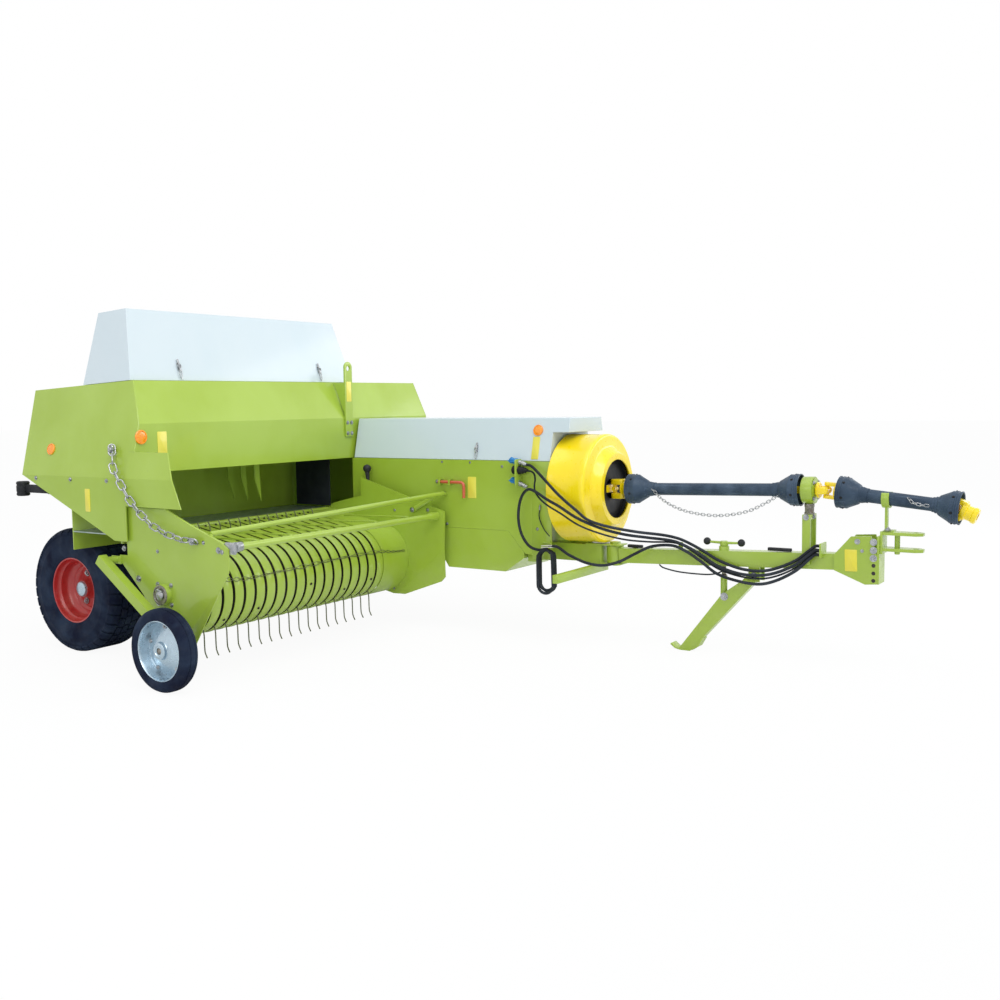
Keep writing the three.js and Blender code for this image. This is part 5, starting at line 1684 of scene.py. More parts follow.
    def reel_pieces(self) -> None:
        """The reel: shaft, four discs, bars, and four rows of tines."""
        x, z = self.reel
        frame_shape = Shape()
        frame_shape.tube([(x, self.right_face - 24, z), (x, self.left_face + 10, z)], 25, 32)
        for y in (-1098, -460, 205):
            r = self.disc
            frame_shape.lathe(
                Axis.Y, [(24, y), (r - 2, y), (r, y + 2), (r, y + 6), (r - 2, y + 8), (24, y + 8)],
                (x, 0, z), 64,
            )
        for k in range(4):
            t = math.atan2(self.tine_bar[1], self.tine_bar[0]) + k * math.pi / 2
            out = math.hypot(*self.tine_bar)
            bx, bz = x + out * math.cos(t), z + out * math.sin(t)
            frame_shape.tube([(bx, -1095, bz), (bx, 210, bz)], 9, 16)
        frame_shape.piece("reel_frame", Body.REEL, Finish.STEEL, "tined_reel")
        one = Repeat.WIRE.apply(
            path_mesh([smooth_path(self.tine_path(), 1)], "tine"), "tine", Finish.WIRE, Radius=0.0032,
            Sides=8,
        )
        row = Repeat.ROW.apply(
            one, "tine_row", Finish.WIRE, Count=self.tines, Step=metres((0, self.pitch, 0)),
        )
        round_shaft = {"Count": 4, "Centre": metres((x, 0, z)), "Axis": (0.0, 1.0, 0.0)}
        Repeat.TURN.piece(row, "reel_tines", Body.REEL, Finish.WIRE, **round_shaft)

    def tube_and_rods(self) -> None:
        """The front tube with its socket and crop rods, and the plated clamp at its right end."""
        x, z = self.front_tube
        shape = Shape()
        shape.lathe(Axis.Y, [
            (0, self.inner_right + 4), (17, self.inner_right + 4), (17, self.inner_left - 84),
            (20, self.inner_left - 78), (24, self.inner_left - 66), (24, self.inner_left),
            (0, self.inner_left),
        ], (x, 0, z), 32)
        for k in self.rods_at:
            y = self.first_tine + k * self.pitch
            bend = (x - 20, y, z + 18.4)
            shape.tube(
                [(x + 8, y, z + 15), bend, (x - 476, y, z + 8.2), (x - 480, y, z + 8)], [5, 5, 4.6, 2], 10,
            )
        shape.piece("front_tube", Body.PICKUP, Finish.GREEN, "pickup_front_tube")
        clamp = Shape()
        y0 = self.inner_right
        clamp.prism(
            Axis.Y,
            [
                (x - 70, 668), (x - 60, 655), (x + 8, 655), (x + 17, 668), (x + 17, 706), (x + 6, 712),
                (x - 52, 712), (x - 70, 700),
            ],
            y0, y0 + 5,
        )
        clamp.lathe(Axis.Y, [(17.4, y0 + 4), (24, y0 + 4), (24, y0 + 44), (17.4, y0 + 44)], (x, 0, z), 24)
        clamp.rounded(1, 2)
        clamp.piece("tube_clamp", Body.PICKUP, Finish.ZINC)

    def windguard(self) -> None:
        """The windguard: a bent bar on two pins, with its flattened arm and bolts."""
        y0, y1 = self.inner_right + 12, self.inner_left - 14
        pin = (-257, 721)
        shape = Shape()
        corner = Vector((-70, y1, 818))
        along = (corner - Vector((-262, y0, 742))).normalized()
        arm_way = (Vector((pin[0], y1, pin[1])) - corner).normalized()
        bend = [
            corner - along * 26, corner - along * 8 + arm_way * 1.5, corner + arm_way * 8 - along * 1.5,
            corner + arm_way * 26,
        ]
        line = smooth_path(
            [
                (-262, y0, 742), tuple(corner - along * 60), *(tuple(p) for p in bend),
                tuple(corner + arm_way * 60), (pin[0] + 20, y1, pin[1] + 10),
            ],
            5,
        )
        shape.tube(line, 13.6, 20)
        shape.tube([(pin[0], y0, pin[1]), (-262, y0, 742)], 12, 16)
        shape.slab((64, 30), 14, (-4, 4), facing((pin[0] + 12, y1, pin[1] + 6), (0.89, 0, 0.46), RIGHT))
        for near, far in ((y1 - 10, y1 + 13), (self.inner_right + 1, self.inner_right + 20)):
            shape.tube([(pin[0], near, pin[1]), (pin[0], far, pin[1])], 11, 16)
        shape.piece("windguard_bar_bent", Body.WINDGUARD, Finish.GREEN, "windguard")
        bolts("windguard_bolts", Body.WINDGUARD, [Bolt((pin[0], y1 - 9, pin[1]), 1.1)])

    def twisted_wire(self) -> None:
        """Two strands twisted together across the front of the bands, tied at each end."""
        r, lay, wave = 209.5, 21, 83.0
        sag = (
            (-1090, 24), (-957, 21), (-827, 18), (-638, 19), (-399, 20), (-128, 22), (189, 21), (324, 17),
            (438, 15),
        )
        on_nose = [(arc(self.nose, r, a, a, 1)[0], y) for y, a in sag]
        centres = smooth_path([(x, y, z) for (x, z), y in on_nose], 26)
        strands = []
        for phase in (0, math.pi):
            strand = []
            for i, (x, y, z) in enumerate(centres):
                turn = phase + i * 2 * math.pi / lay
                spread = 7 + 3 * math.sin(y / wave)
                strand.append((x + 1.6 * math.cos(turn), y, z + spread * math.sin(turn)))
            strands.append(strand)
        mesh = Repeat.WIRE.apply(
            path_mesh(strands, "twisted_wire"), "twisted_wire", Finish.WIRE, Radius=0.0016, Sides=6,
        )
        placed(mesh, "twisted_wire", Body.PICKUP, Finish.WIRE)

    def plate_fittings(self) -> None:
        """The reel's bearing and shaft end, and the bolts, lip and lift knob of the side plates."""
        x, z = self.reel
        face = self.right_face - 28
        bearing, end = Shape(), Shape()
        bearing.lathe(
            Axis.Y,
            [
                (27, face + 14), (50, face + 14), (50, face - 2), (46, face - 5), (42, face - 5),
                (40, face - 1), (27, face - 1),
            ],
            (x, 0, z), 40,
        )
        bearing.piece("reel_bearing", Body.PICKUP, Finish.STEEL)
        end.lathe(
            Axis.Y,
            [
                (0, face - 14), (8, face - 14), (10, face - 12), (20, face - 10), (25.5, face - 6),
                (25.5, face + 6), (0, face + 6),
            ],
            (x, 0, z), 32,
        )
        end.tube([(x - 20, face - 9, z + 24), (x, face - 16, z + 30), (x + 22, face - 9, z + 20)], 4, 8)
        end.piece("reel_shaft_end", Body.REEL, Finish.ZINC)
        out, inside = self.right_face, self.left_face - 6
        places = [
            Bolt((-768, out, 494), 1.2), Bolt((-292, out, 702), 0.7),
            Bolt((-191, out, 671), 1.1), Bolt((-168, out, 664), 0.8),
            Bolt((-620, out, 640), 0.7), Bolt((-870, out, 640), 1.0),
            Bolt((-406, inside, 711), 0.6), Bolt((-159, inside, 722), 0.8),
            Bolt((-434, self.inner_left - 8, 377), 0.6), Bolt((-399, inside, 300), 0.7),
            Bolt((-422, inside, 236), 0.6),
        ]
        bolts("plate_bolts", Body.PICKUP, places)
        bolts(
            "bearing_bolts", Body.PICKUP,
            [Bolt((a, out, b), 0.9) for a, b in ring_places(self.reel, 68, 4, 45)],
        )
        lip = Shape()
        edge = [(-562, 851.4), (-388, 783.4), (-174, 708.4), (-127, 679)]
        lip.loft(
            [
                [(a, out + 0.2, b), (a, out + 0.2, b - 3), (a, out + 15, b - 3), (a, out + 15, b)]
                for a, b in edge
            ],
        )
        lip.rounded(0.8, 2, 60)
        lip.piece("right_plate_lip", Body.PICKUP, Finish.GREEN)
        knob = Shape()
        knob.ball((-624, 486, 956), 25)
        knob.tube([(-624, 486, 936), (-620, 486, 900), (-618, 486, 872)], [15, 11, 9], 14)
        knob.piece("lift_knob", Body.PICKUP, Finish.FLAG)

    def build(self) -> None:
        """The whole pickup."""
        self.bands()
        self.reel_pieces()
        self.tube_and_rods()
        self.windguard()
        self.twisted_wire()
        self.plate_fittings()


@dataclass
class LiftChain:
    """The chain that holds the pickup up, from its bolt on the hood to the one on the plate."""

    top: Triple = (-924, -1138, 1136)
    low: Triple = (-341, -1152, 708)
    between: tuple[Triple, ...] = (
        (-906, -1152, 1090), (-879, -1168, 1037), (-808, -1174, 950), (-745, -1174, 877), (-653, -1171, 802),
        (-561, -1166, 752), (-446, -1158, 718),
    )

    def build(self) -> None:
        """The links, the hook that they hang on, and a bolt with its nut at each end."""
        line = smooth_path([self.top, *self.between, self.low], 12)
        links = Repeat.CHAIN.apply(
            path_mesh([line], "lift_chain"), "lift_chain_links", Finish.ZINC,
            Pitch=0.0485, Link_Length=0.062, Link_Width=0.033, Wire_Radius=0.0038,
        )
        chain = placed(links, "lift_chain_links", None, Finish.ZINC, "pickup_chain")
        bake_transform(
            chain, Body.CHASSIS.value, Body.PICKUP.value, metres(self.between[0]), metres(self.between[-1]),
        )
        ends, low = Shape(), Shape()
        tx, ty, tz = self.top
        lx, ly, lz = self.low
        ends.tube([(tx, -1119.4, tz), (tx, ty - 8, tz)], 6, 12)
        low.tube([(lx, -1131.4, lz), (lx, ly - 8, lz)], 6, 12)
        hook = [
            (tx + 2, ty - 2, tz + 2), (tx - 8, ty - 2, tz + 12), (tx - 2, ty - 2, tz + 22),
            (tx + 9, ty - 2, tz + 14), (tx + 7, ty - 2, tz - 4), (tx + 12, ty - 4, tz - 18),
        ]
        ends.tube(smooth_path(hook, 5), 3.4, 8)
        ends.piece("chain_bolts", Body.CHASSIS, Finish.ZINC)
        low.piece("chain_bolt_low", Body.PICKUP, Finish.ZINC)
        bolts("chain_nut_top", Body.CHASSIS, [Bolt((tx, ty - 8, tz), 1.2)])
        bolts("chain_nut_low", Body.PICKUP, [Bolt((lx, ly - 8, lz), 1.3)])


# ---------------------------------------------------------------- drive line


@dataclass
class FlywheelGuard:
    """The yellow drum round the flywheel, its stepped collar, its back and the three arms behind it."""

    height: float = 860
    radius: float = 304
    back: float = 655
    front: float = 888
    collar: float = 942
    mouth: float = 163
    arm_radius: float = 200

    def drum(self) -> None:
        """The shell with its rolled edges and stepped collar, as one turned section."""
        r, f, c = self.radius, self.front, self.collar
        roll = [
            (r - 14 + 14 * math.cos(t), f - 14 + 14 * math.sin(t))
            for t in (math.radians(18 * k) for k in range(6))
        ]
        outer = [
            (r - 12, self.back), (r - 3, self.back), (r, self.back + 3), (r, self.back + 14),
            (r - 1.5, self.back + 18), (r - 1.5, f - 40), (r, f - 36), *roll, (242, f + 1), (232, f + 4),
            (227, f + 14), (200, c - 3), (197, c), (188, c + 1), (self.mouth + 2, c + 1),
        ]
        inner = [
            (self.mouth, c - 1), (self.mouth, c - 6), (186, c - 8), (192, c - 14), (220, f + 2),
            (222, f - 8), (r - 24, f - 8), (r - 10, f - 18), (r - 8, f - 30), (r - 8, self.back + 2),
        ]
        turned(
            "flywheel_drum", Body.CHASSIS, Finish.YELLOW, Axis.X, [*outer, *inner], (0, LINE_Y, self.height),
            128, replaces=("flywheel_guard",),
        )

    def rear(self) -> None:
        """The back ring and the arms that hold it."""
        r, y, z = self.radius, LINE_Y, self.height
        shape = Shape()
        shape.lathe(
            Axis.X, [(60, self.back), (r - 9, self.back), (r - 9, self.back + 5), (60, self.back + 5)],
            (0, y, z), 96,
        )
        for degrees in (20, 160, 270):
            t = math.radians(degrees)
            at = (self.back - 63, y + self.arm_radius * math.cos(t), z + self.arm_radius * math.sin(t))
            shape.slab((50, 20), 3, (-63, 62), facing(at, (0, -math.sin(t), math.cos(t)), AHEAD))
        shape.rounded(1, 2, 50)
        shape.piece("flywheel_guard_back", Body.CHASSIS, Finish.YELLOW)

    def liner(self) -> None:
        """The dark plastic disc that fills the mouth behind the joint."""
        m = self.mouth
        profile = [
            (56, 893), (m + 20, 893), (m + 22, 896), (m + 22, 912), (m + 18, 912), (m + 17, 899),
            (m - 20, 899), (m - 24, 903), (72, 903), (66, 899), (56, 899),
        ]
        turned(
            "flywheel_mouth_disc", Body.CHASSIS, Finish.FLAG, Axis.X, profile, (0, LINE_Y, self.height), 72,
        )

    def build(self) -> None:
        """The whole guard."""
        self.drum()
        self.rear()
        self.liner()


@dataclass(frozen=True)
class ShaftLine:
    """Where a half of the drive shaft lies: its first joint and its slope."""

    joint: Pair
    slope: float

    @property
    def lay(self) -> Matrix:
        """The matrix from the drawing along X to the machine."""
        start = Matrix.Translation((self.joint[0], LINE_Y, self.joint[1]))
        return start @ Matrix.Rotation(-math.atan(self.slope), 4, "Y")


@dataclass
class ShaftGuard:
    """A plastic shaft guard: a tube with a ribbed bell at each end."""

    node: str
    line: ShaftLine
    tube: Pair
    bells: tuple[tuple[float, float, float], tuple[float, float, float]]

    def bell(self, shape: Shape, wide_at: float, narrow_at: float, wide: float) -> None:
        """A bell with a rolled mouth, two ribs on its barrel, a cone and a clamped neck.

        Args:
            shape: the shape that it is added to.
            wide_at: where its mouth is.
            narrow_at: where its neck ends.
            wide: the radius of its mouth.
        """
        way = 1 if narrow_at > wide_at else -1
        barrel = wide_at + (narrow_at - wide_at) * 0.35
        outer = [
            (wide - 4, wide_at), (wide, wide_at + way * 2), (wide, wide_at + way * 6),
            (wide - 3, wide_at + way * 8), (wide - 3, wide_at + way * 17), (wide, wide_at + way * 19),
            (wide, wide_at + way * 25), (wide - 3, wide_at + way * 27), (wide - 3, barrel),
            (wide - 7, barrel + way * 5), (50, barrel + way * 50), (48, barrel + way * 54),
            (40, barrel + way * 60), (40, barrel + way * 70), (36, narrow_at - way * 10), (36, narrow_at),
        ]
        inner = [
            (33.2, narrow_at), (33.2, narrow_at - way * 12), (44, barrel + way * 52),
            (wide - 10, barrel + way * 2), (wide - 8, wide_at + way * 4),
        ]
        shape.lathe(Axis.X, [*outer, *inner], (0, 0, 0), 56)

    def build(self) -> None:
        """The tube and both bells, and the small screws round them."""
        shape = Shape()
        start, end = self.tube
        shape.lathe(Axis.X, [(27, start), (33, start), (33, end), (27, end)], (0, 0, 0), 40)
        places = []
        lay = self.line.lay
        for wide_at, narrow_at, wide in self.bells:
            self.bell(shape, wide_at, narrow_at, wide)
            way = 1 if narrow_at > wide_at else -1
            for k in range(6):
                t = math.radians(60 * k + 15)
                out = Vector((0, math.cos(t), math.sin(t)))
                at = lay @ Vector((wide_at + way * 34, *(out * (wide - 3.4))[1:]))
                places.append(Bolt(tuple(at), 0.5, tuple(lay.to_3x3() @ out)))
        shape.turn_all(lay)
        body = body_of_node(self.node)
        name = self.node + "_bells"
        shape.piece(name, body, Finish.GUARD, self.node)
        bolts(self.node + "_screws", body, places, Finish.FLAG)


@dataclass
class JointedShaft:
    """A half of the drive shaft: its core, the fork at each end and the crosses in them."""

    node: str
    line: ShaftLine
    core: Pair
    first: float
    far_root: float
    far_joint: float
    crosses: tuple[float, ...]
    first_ear: Pair = (19, 41.5)
    far_ear: Pair = (19, 41.5)

    def fork(self, shape: Shape, root: float, joint: float, across: Axis, ear: Pair) -> None:
        """A fork whose two ears reach from a boss round the cross.

        Args:
            shape: the shape that it is added to.
            root: where its boss is.
            joint: where the cross is.
            across: the axis of its ears' holes.
            ear: half an ear's width, and how far out it stands.
        """
        way = 1 if joint > root else -1
        half, out = ear
        tip = [
            (joint + way * half * math.cos(t) * 0.8, half * math.sin(t))
            for t in (math.radians(-75 + 25 * k) for k in range(7))
        ]
        outline = [(root, -half), (joint, -half), *tip, (joint, half), (root, half)]
        for side in (-1, 1):
            low, high = sorted((side * 23, side * out))
            made = shape.prism(Axis.Y, outline, low, high)
            if across is Axis.Z:
                shape.turn(made, Matrix.Rotation(math.pi / 2, 4, "X"))

    def build(self) -> None:
        """Core, bosses, forks and crosses."""
        shape = Shape()
        self.fork(shape, self.first, 0, Axis.Z, self.first_ear)
        self.fork(shape, self.far_root, self.far_joint, Axis.Y, self.far_ear)
        shape.rounded(3, 2, 50)
        start, end = self.core
        a, b = self.first, self.far_root
        shape.lathe(Axis.X, [
            (0, a - 14), (36, a - 14), (41, a - 9), (41, a - 2), (30, a + 4), (24, a + 10), (20, start + 16),
            (20, end - 16), (26, b - 20), (29, b - 8), (29, b), (41, b + 2), (41, b + 9), (36, b + 14),
            (0, b + 14),
        ], (0, 0, 0), 36)
        lay = self.line.lay
        shape.turn_all(lay)
        body = body_of_node(self.node)
        shape.piece(self.node + "_forks", body, Finish.YELLOW, self.node)
        cross = Shape()
        for joint in self.crosses:
            for pin in (Vector(LEFT), Vector(UP)):
                middle = Vector((joint, 0, 0))
                cross.tube([tuple(middle - pin * 22), tuple(middle + pin * 22)], 11, 16)
        cross.turn_all(lay)
        cross.piece(self.node + "_crosses", body, Finish.YELLOW)


@dataclass
class DriveLine:
    """Flywheel guard, both shafts in their guards, bearing stand fittings and safety chains."""

    rear: ShaftLine = ShaftLine((925, 860), 0.0247)
    front: ShaftLine = ShaftLine((2108, 889), -0.104)
    last_joint: float = 607

    def collar(self) -> None:
        """The tractor end's splined collar, hanging from the last joint."""
        shape = Shape()
        profile = [
            (18, 30), (38, 30), (42, 34), (42, 54), (35, 58), (35, 84), (39, 88), (39, 102), (34, 108),
            (18, 108), (18, 104), (20, 98), (20, 36),
        ]
        shape.lathe(Axis.X, profile, (0, 0, 0), 36)
        tilt = Matrix.Rotation(math.atan2(30, 106), 4, "Y")
        shape.turn_all(self.front.lay @ Matrix.Translation((self.last_joint, 0, 0)) @ tilt)
        shape.piece("tractor_collar", Body.FRONT_SHAFT, Finish.YELLOW)
        joint = Shape()
        for side in (-1, 1):
            low, high = sorted((side * 26, side * 48))
            ear = joint.prism(Axis.Z, [(-20, -21), (46, -30), (46, 30), (-20, 21)], low, high)
            joint.turn(ear, tilt)
        joint.rounded(3, 2, 50)
        joint.turn_all(self.front.lay @ Matrix.Translation((self.last_joint, 0, 0)))
        joint.piece("tractor_yoke", Body.FRONT_SHAFT, Finish.YELLOW)

    def stand_fittings(self) -> None:
        """The stand's sleeve, its bolts and the bearing's flanges."""
        x, z = 2020, 887
        sleeve, ring = Shape(), Shape()
        sleeve.lathe(
            Axis.Z, [(0, 767), (26, 767), (26, 774), (23, 776), (23, 800), (25, 803), (25, 818), (0, 818)],
            (x, LINE_Y, 0), 32,
        )
        sleeve.piece("stand_sleeve", Body.TONGUE, Finish.STEEL)
        for side in (-1, 1):
            front = x + side * 28
            profile = [
                (31, front), (62, front), (62, front + side * 3), (48, front + side * 4),
                (44, front + side * 6), (31, front + side * 6),
            ]
            ring.lathe(Axis.X, profile, (0, LINE_Y, z), 48)
        ring.piece("bearing_flanges", Body.TONGUE, Finish.GREEN)
        places = [
            Bolt((x, LINE_Y - 53.2, 754), 1.1), Bolt((x, LINE_Y - 53.2, 562), 0.9),
            Bolt((x + 20.4, LINE_Y, 754), 1.0, AHEAD),
        ]
        places += [Bolt((x + 32, a, b), 0.8, AHEAD) for a, b in ring_places((LINE_Y, z), 55, 4, 45)]
        bolts("bearing_stand_bolts", Body.TONGUE, places)

    def chain(self, name: str, body: Body, line: Sequence[Triple]) -> None:
        """A light safety chain along a line."""
        links = Repeat.CHAIN.apply(
            path_mesh([smooth_path(line, 10)], name), name, Finish.ZINC, Pitch=0.0165, Link_Length=0.0235,
            Link_Width=0.0135, Wire_Radius=0.0019,
        )
        placed(links, name, body, Finish.ZINC)

    def build(self) -> None:
        """The whole drive line."""
        FlywheelGuard().build()
        ShaftGuard("pto_guard_rear", self.rear, (235, 925), ((92, 250, 82), (1055, 905, 82))).build()
        ShaftGuard("pto_guard_front", self.front, (190, 547), ((58, 205, 80), (637, 507, 80))).build()
        JointedShaft(
            "pto_shaft_rear", self.rear, (66, 1110), 60, 1136, 1183, (0, 1183), first_ear=(26, 54),
        ).build()
        last = self.last_joint
        JointedShaft(
            "pto_shaft_front", self.front, (56, 540), 54, 556, last, (last,), far_ear=(25, 50),
        ).build()
        self.collar()
        self.stand_fittings()
        rear = [
            (1176, 726, 862), (1246, 725, 804), (1365, 725, 757), (1531, 725, 740), (1692, 725, 764),
            (1802, 725, 814), (1862, 726, 852),
        ]
        self.chain("rear_safety_chain", Body.TONGUE, rear)
        front = [(2511, 732, 862), (2530, 722, 846), (2568, 722, 836), (2592, 726, 834)]
        self.chain("front_safety_chain", Body.FRONT_GUARD, front)


# ---------------------------------------------------------------- tongue


@dataclass
class Jack:
    """The parking stand's screw: its sleeve, thread, T-bar and two ball knobs."""

    x: float = 1567
    low: float = 307
    hub: float = 594
    reach: float = 95
    thread_low: float = 426
    thread_pitch: float = 6.8

    def build(self) -> None:
        """Each of them in its finish."""
        x, y, hub = self.x, LINE_Y, self.hub
        green, steel, balls = Shape(), Shape(), Shape()
        green.lathe(
            Axis.Z, [(0, self.low), (15, self.low), (18, self.low + 3), (18, 408), (16, 411), (0, 411)],
            (x, y, 0), 32,
        )
        green.lathe(
            Axis.Z,
            [(0, hub - 16), (20, hub - 16), (22, hub - 13), (22, hub + 6), (18, hub + 10), (0, hub + 10)],
            (x, y, 0), 32,
        )
        green.tube([(x - self.reach + 8, y, hub + 2), (x - 16, y, hub)], [6, 7.5], 14)
        green.tube([(x + 16, y, hub), (x + self.reach - 8, y, hub + 2)], [7.5, 6], 14)
        green.piece("jack_handle", Body.JACK, Finish.GREEN, "jack_screw")
        thread = [(12 if k % 2 else 10.4, self.thread_low + k * self.thread_pitch / 2) for k in range(43)]
        steel.lathe(
            Axis.Z,
            [
                (0, 411), (17, 411), (18, 414), (18, 422), (16, 425), (12, 425), *thread, (12, hub - 16),
                (0, hub - 16),
            ],
            (x, y, 0), 24,
        )
        steel.piece("jack_thread", Body.JACK, Finish.STEEL)
        for side in (-1, 1):
            balls.ball((x + side * self.reach, y, hub + 4), 20)
        balls.piece("jack_knobs", Body.JACK, Finish.FLAG)


@dataclass
class TongueFittings:
    """Bolts, blank plate, dark discs painted as the shade of the hitch holes, cable clips and the thin cable
    under the tongue.
    """

    cheek: float = 712.5

    def build(self) -> None:
        """All of them."""
        y = self.cheek - 0.2
        places = [Bolt((2353, y, z), 1.25) for z in (647, 607, 568)]
        places += [Bolt((2275, y, 646), 1.0), Bolt((2298, y, 601), 0.6)]
        bolts("hitch_bolts", Body.TONGUE, places)
        # Flat dark discs on the cheek: painted shade standing in for the hitch holes.
        holes = Shape()
        for z in (532, 494, 458):
            holes.lathe(
                Axis.Y, [(0, y - 0.8), (9, y - 0.8), (9.5, y - 0.4), (9.5, y + 0.6), (0, y + 0.6)],
                (2354, 0, z), 24,
            )
        holes.piece("hitch_holes", Body.TONGUE, Finish.DARK_STEEL)
        Plate("hitch_plate", Body.TONGUE, (2245, y, 551), (1, 0, 0.03), RIGHT, (60, 108)).build()
        clevis = [Bolt((2412, LINE_Y - 24, 706.4), 1.2, UP), Bolt((2400, LINE_Y + 18, 706.4), 1.0, UP)]
        bolts("clevis_bolts", Body.TONGUE, clevis)
        pin = Shape()
        pin.lathe(Axis.Z, [(0, 588), (11, 588), (13, 592), (13, 603.5), (0, 603.5)], (2452, LINE_Y, 0), 24)
        pin.lathe(Axis.Z, [(0, 619.4), (13, 619.4), (13, 682.6), (0, 682.6)], (2452, LINE_Y, 0), 24)
        pin.piece("clevis_spacer", Body.TONGUE, Finish.GREEN)
        dark = Shape()
        for x0, x1, z in ((1010, 1100, 538), (1810, 1935, 569)):
            lay = facing(((x0 + x1) / 2, LINE_Y - 12, z + 8), (1, 0, 0.037), UP)
            dark.slab((x1 - x0, 26), 9, (-7, 9), lay)
        dark.rounded(3, 2, 50)
        dark.piece("tongue_cable_clips", Body.TONGUE, Finish.FLAG)
        bolts(
            "tongue_bolts", Body.TONGUE,
            [
                Bolt((1040, LINE_Y + 22, 535.4), 1.3, UP), Bolt((1135, LINE_Y + 14, 539), 1.0, UP),
                Bolt((1746, LINE_Y - 41.4, 438), 1.2),
            ],
        )
        cable = Shape()
        line = [
            (1215, 720, 459), (1245, 714, 444), (1339, 711, 429), (1474, 710, 426), (1540, 710, 434),
            (1578, 714, 452), (1588, 720, 472),
        ]
        cable.tube(smooth_path(line, 6), 4, 10)
        cable.piece("stand_cable", Body.TONGUE, Finish.HOSE)
        bolts("stand_bolt", Body.STAND, [Bolt((1580, 736.6, 312), 1.5)])


# ---------------------------------------------------------------- fittings


@dataclass
class Latch:
    """A bright toggle latch on a cover: its foot, lever and wire hook."""

    name: str
    body: Body
    at: Triple
    normal: Triple
    length: float = 90

    def build(self) -> None:
        """The lever on its foot, and the hook that it pulls."""
        lay = facing(self.at, (0.02, 0.02, -1), self.normal)
        shape = Shape()
        half = self.length / 2
        shape.slab((40, 20), 4, (0.3, 3), Matrix.Translation((-half * 0.3, 0, 0)))
        raised = Matrix.Translation((-half * 0.4, 0, 0)) @ Matrix.Rotation(math.radians(-7), 4, "Y")
        shape.slab((self.length * 0.62, 11), 5, (6, 9), raised)
        for side in (-1, 1):
            shape.box((-half * 0.3 - 9, -half * 0.3 + 9), (side * 8 - 1, side * 8 + 1), (2, 13))
        shape.rounded(0.6, 2, 50)
        shape.tube([(0, -7, 8), (half - 10, -7, 6), (half, 0, 5), (half - 10, 7, 6), (0, 7, 8)], 2.2, 8)
        shape.tube([(-half * 0.3, -11, 10), (-half * 0.3, 11, 10)], 2.6, 8)
        shape.turn_all(lay)
        shape.piece(self.name, self.body, Finish.ZINC)


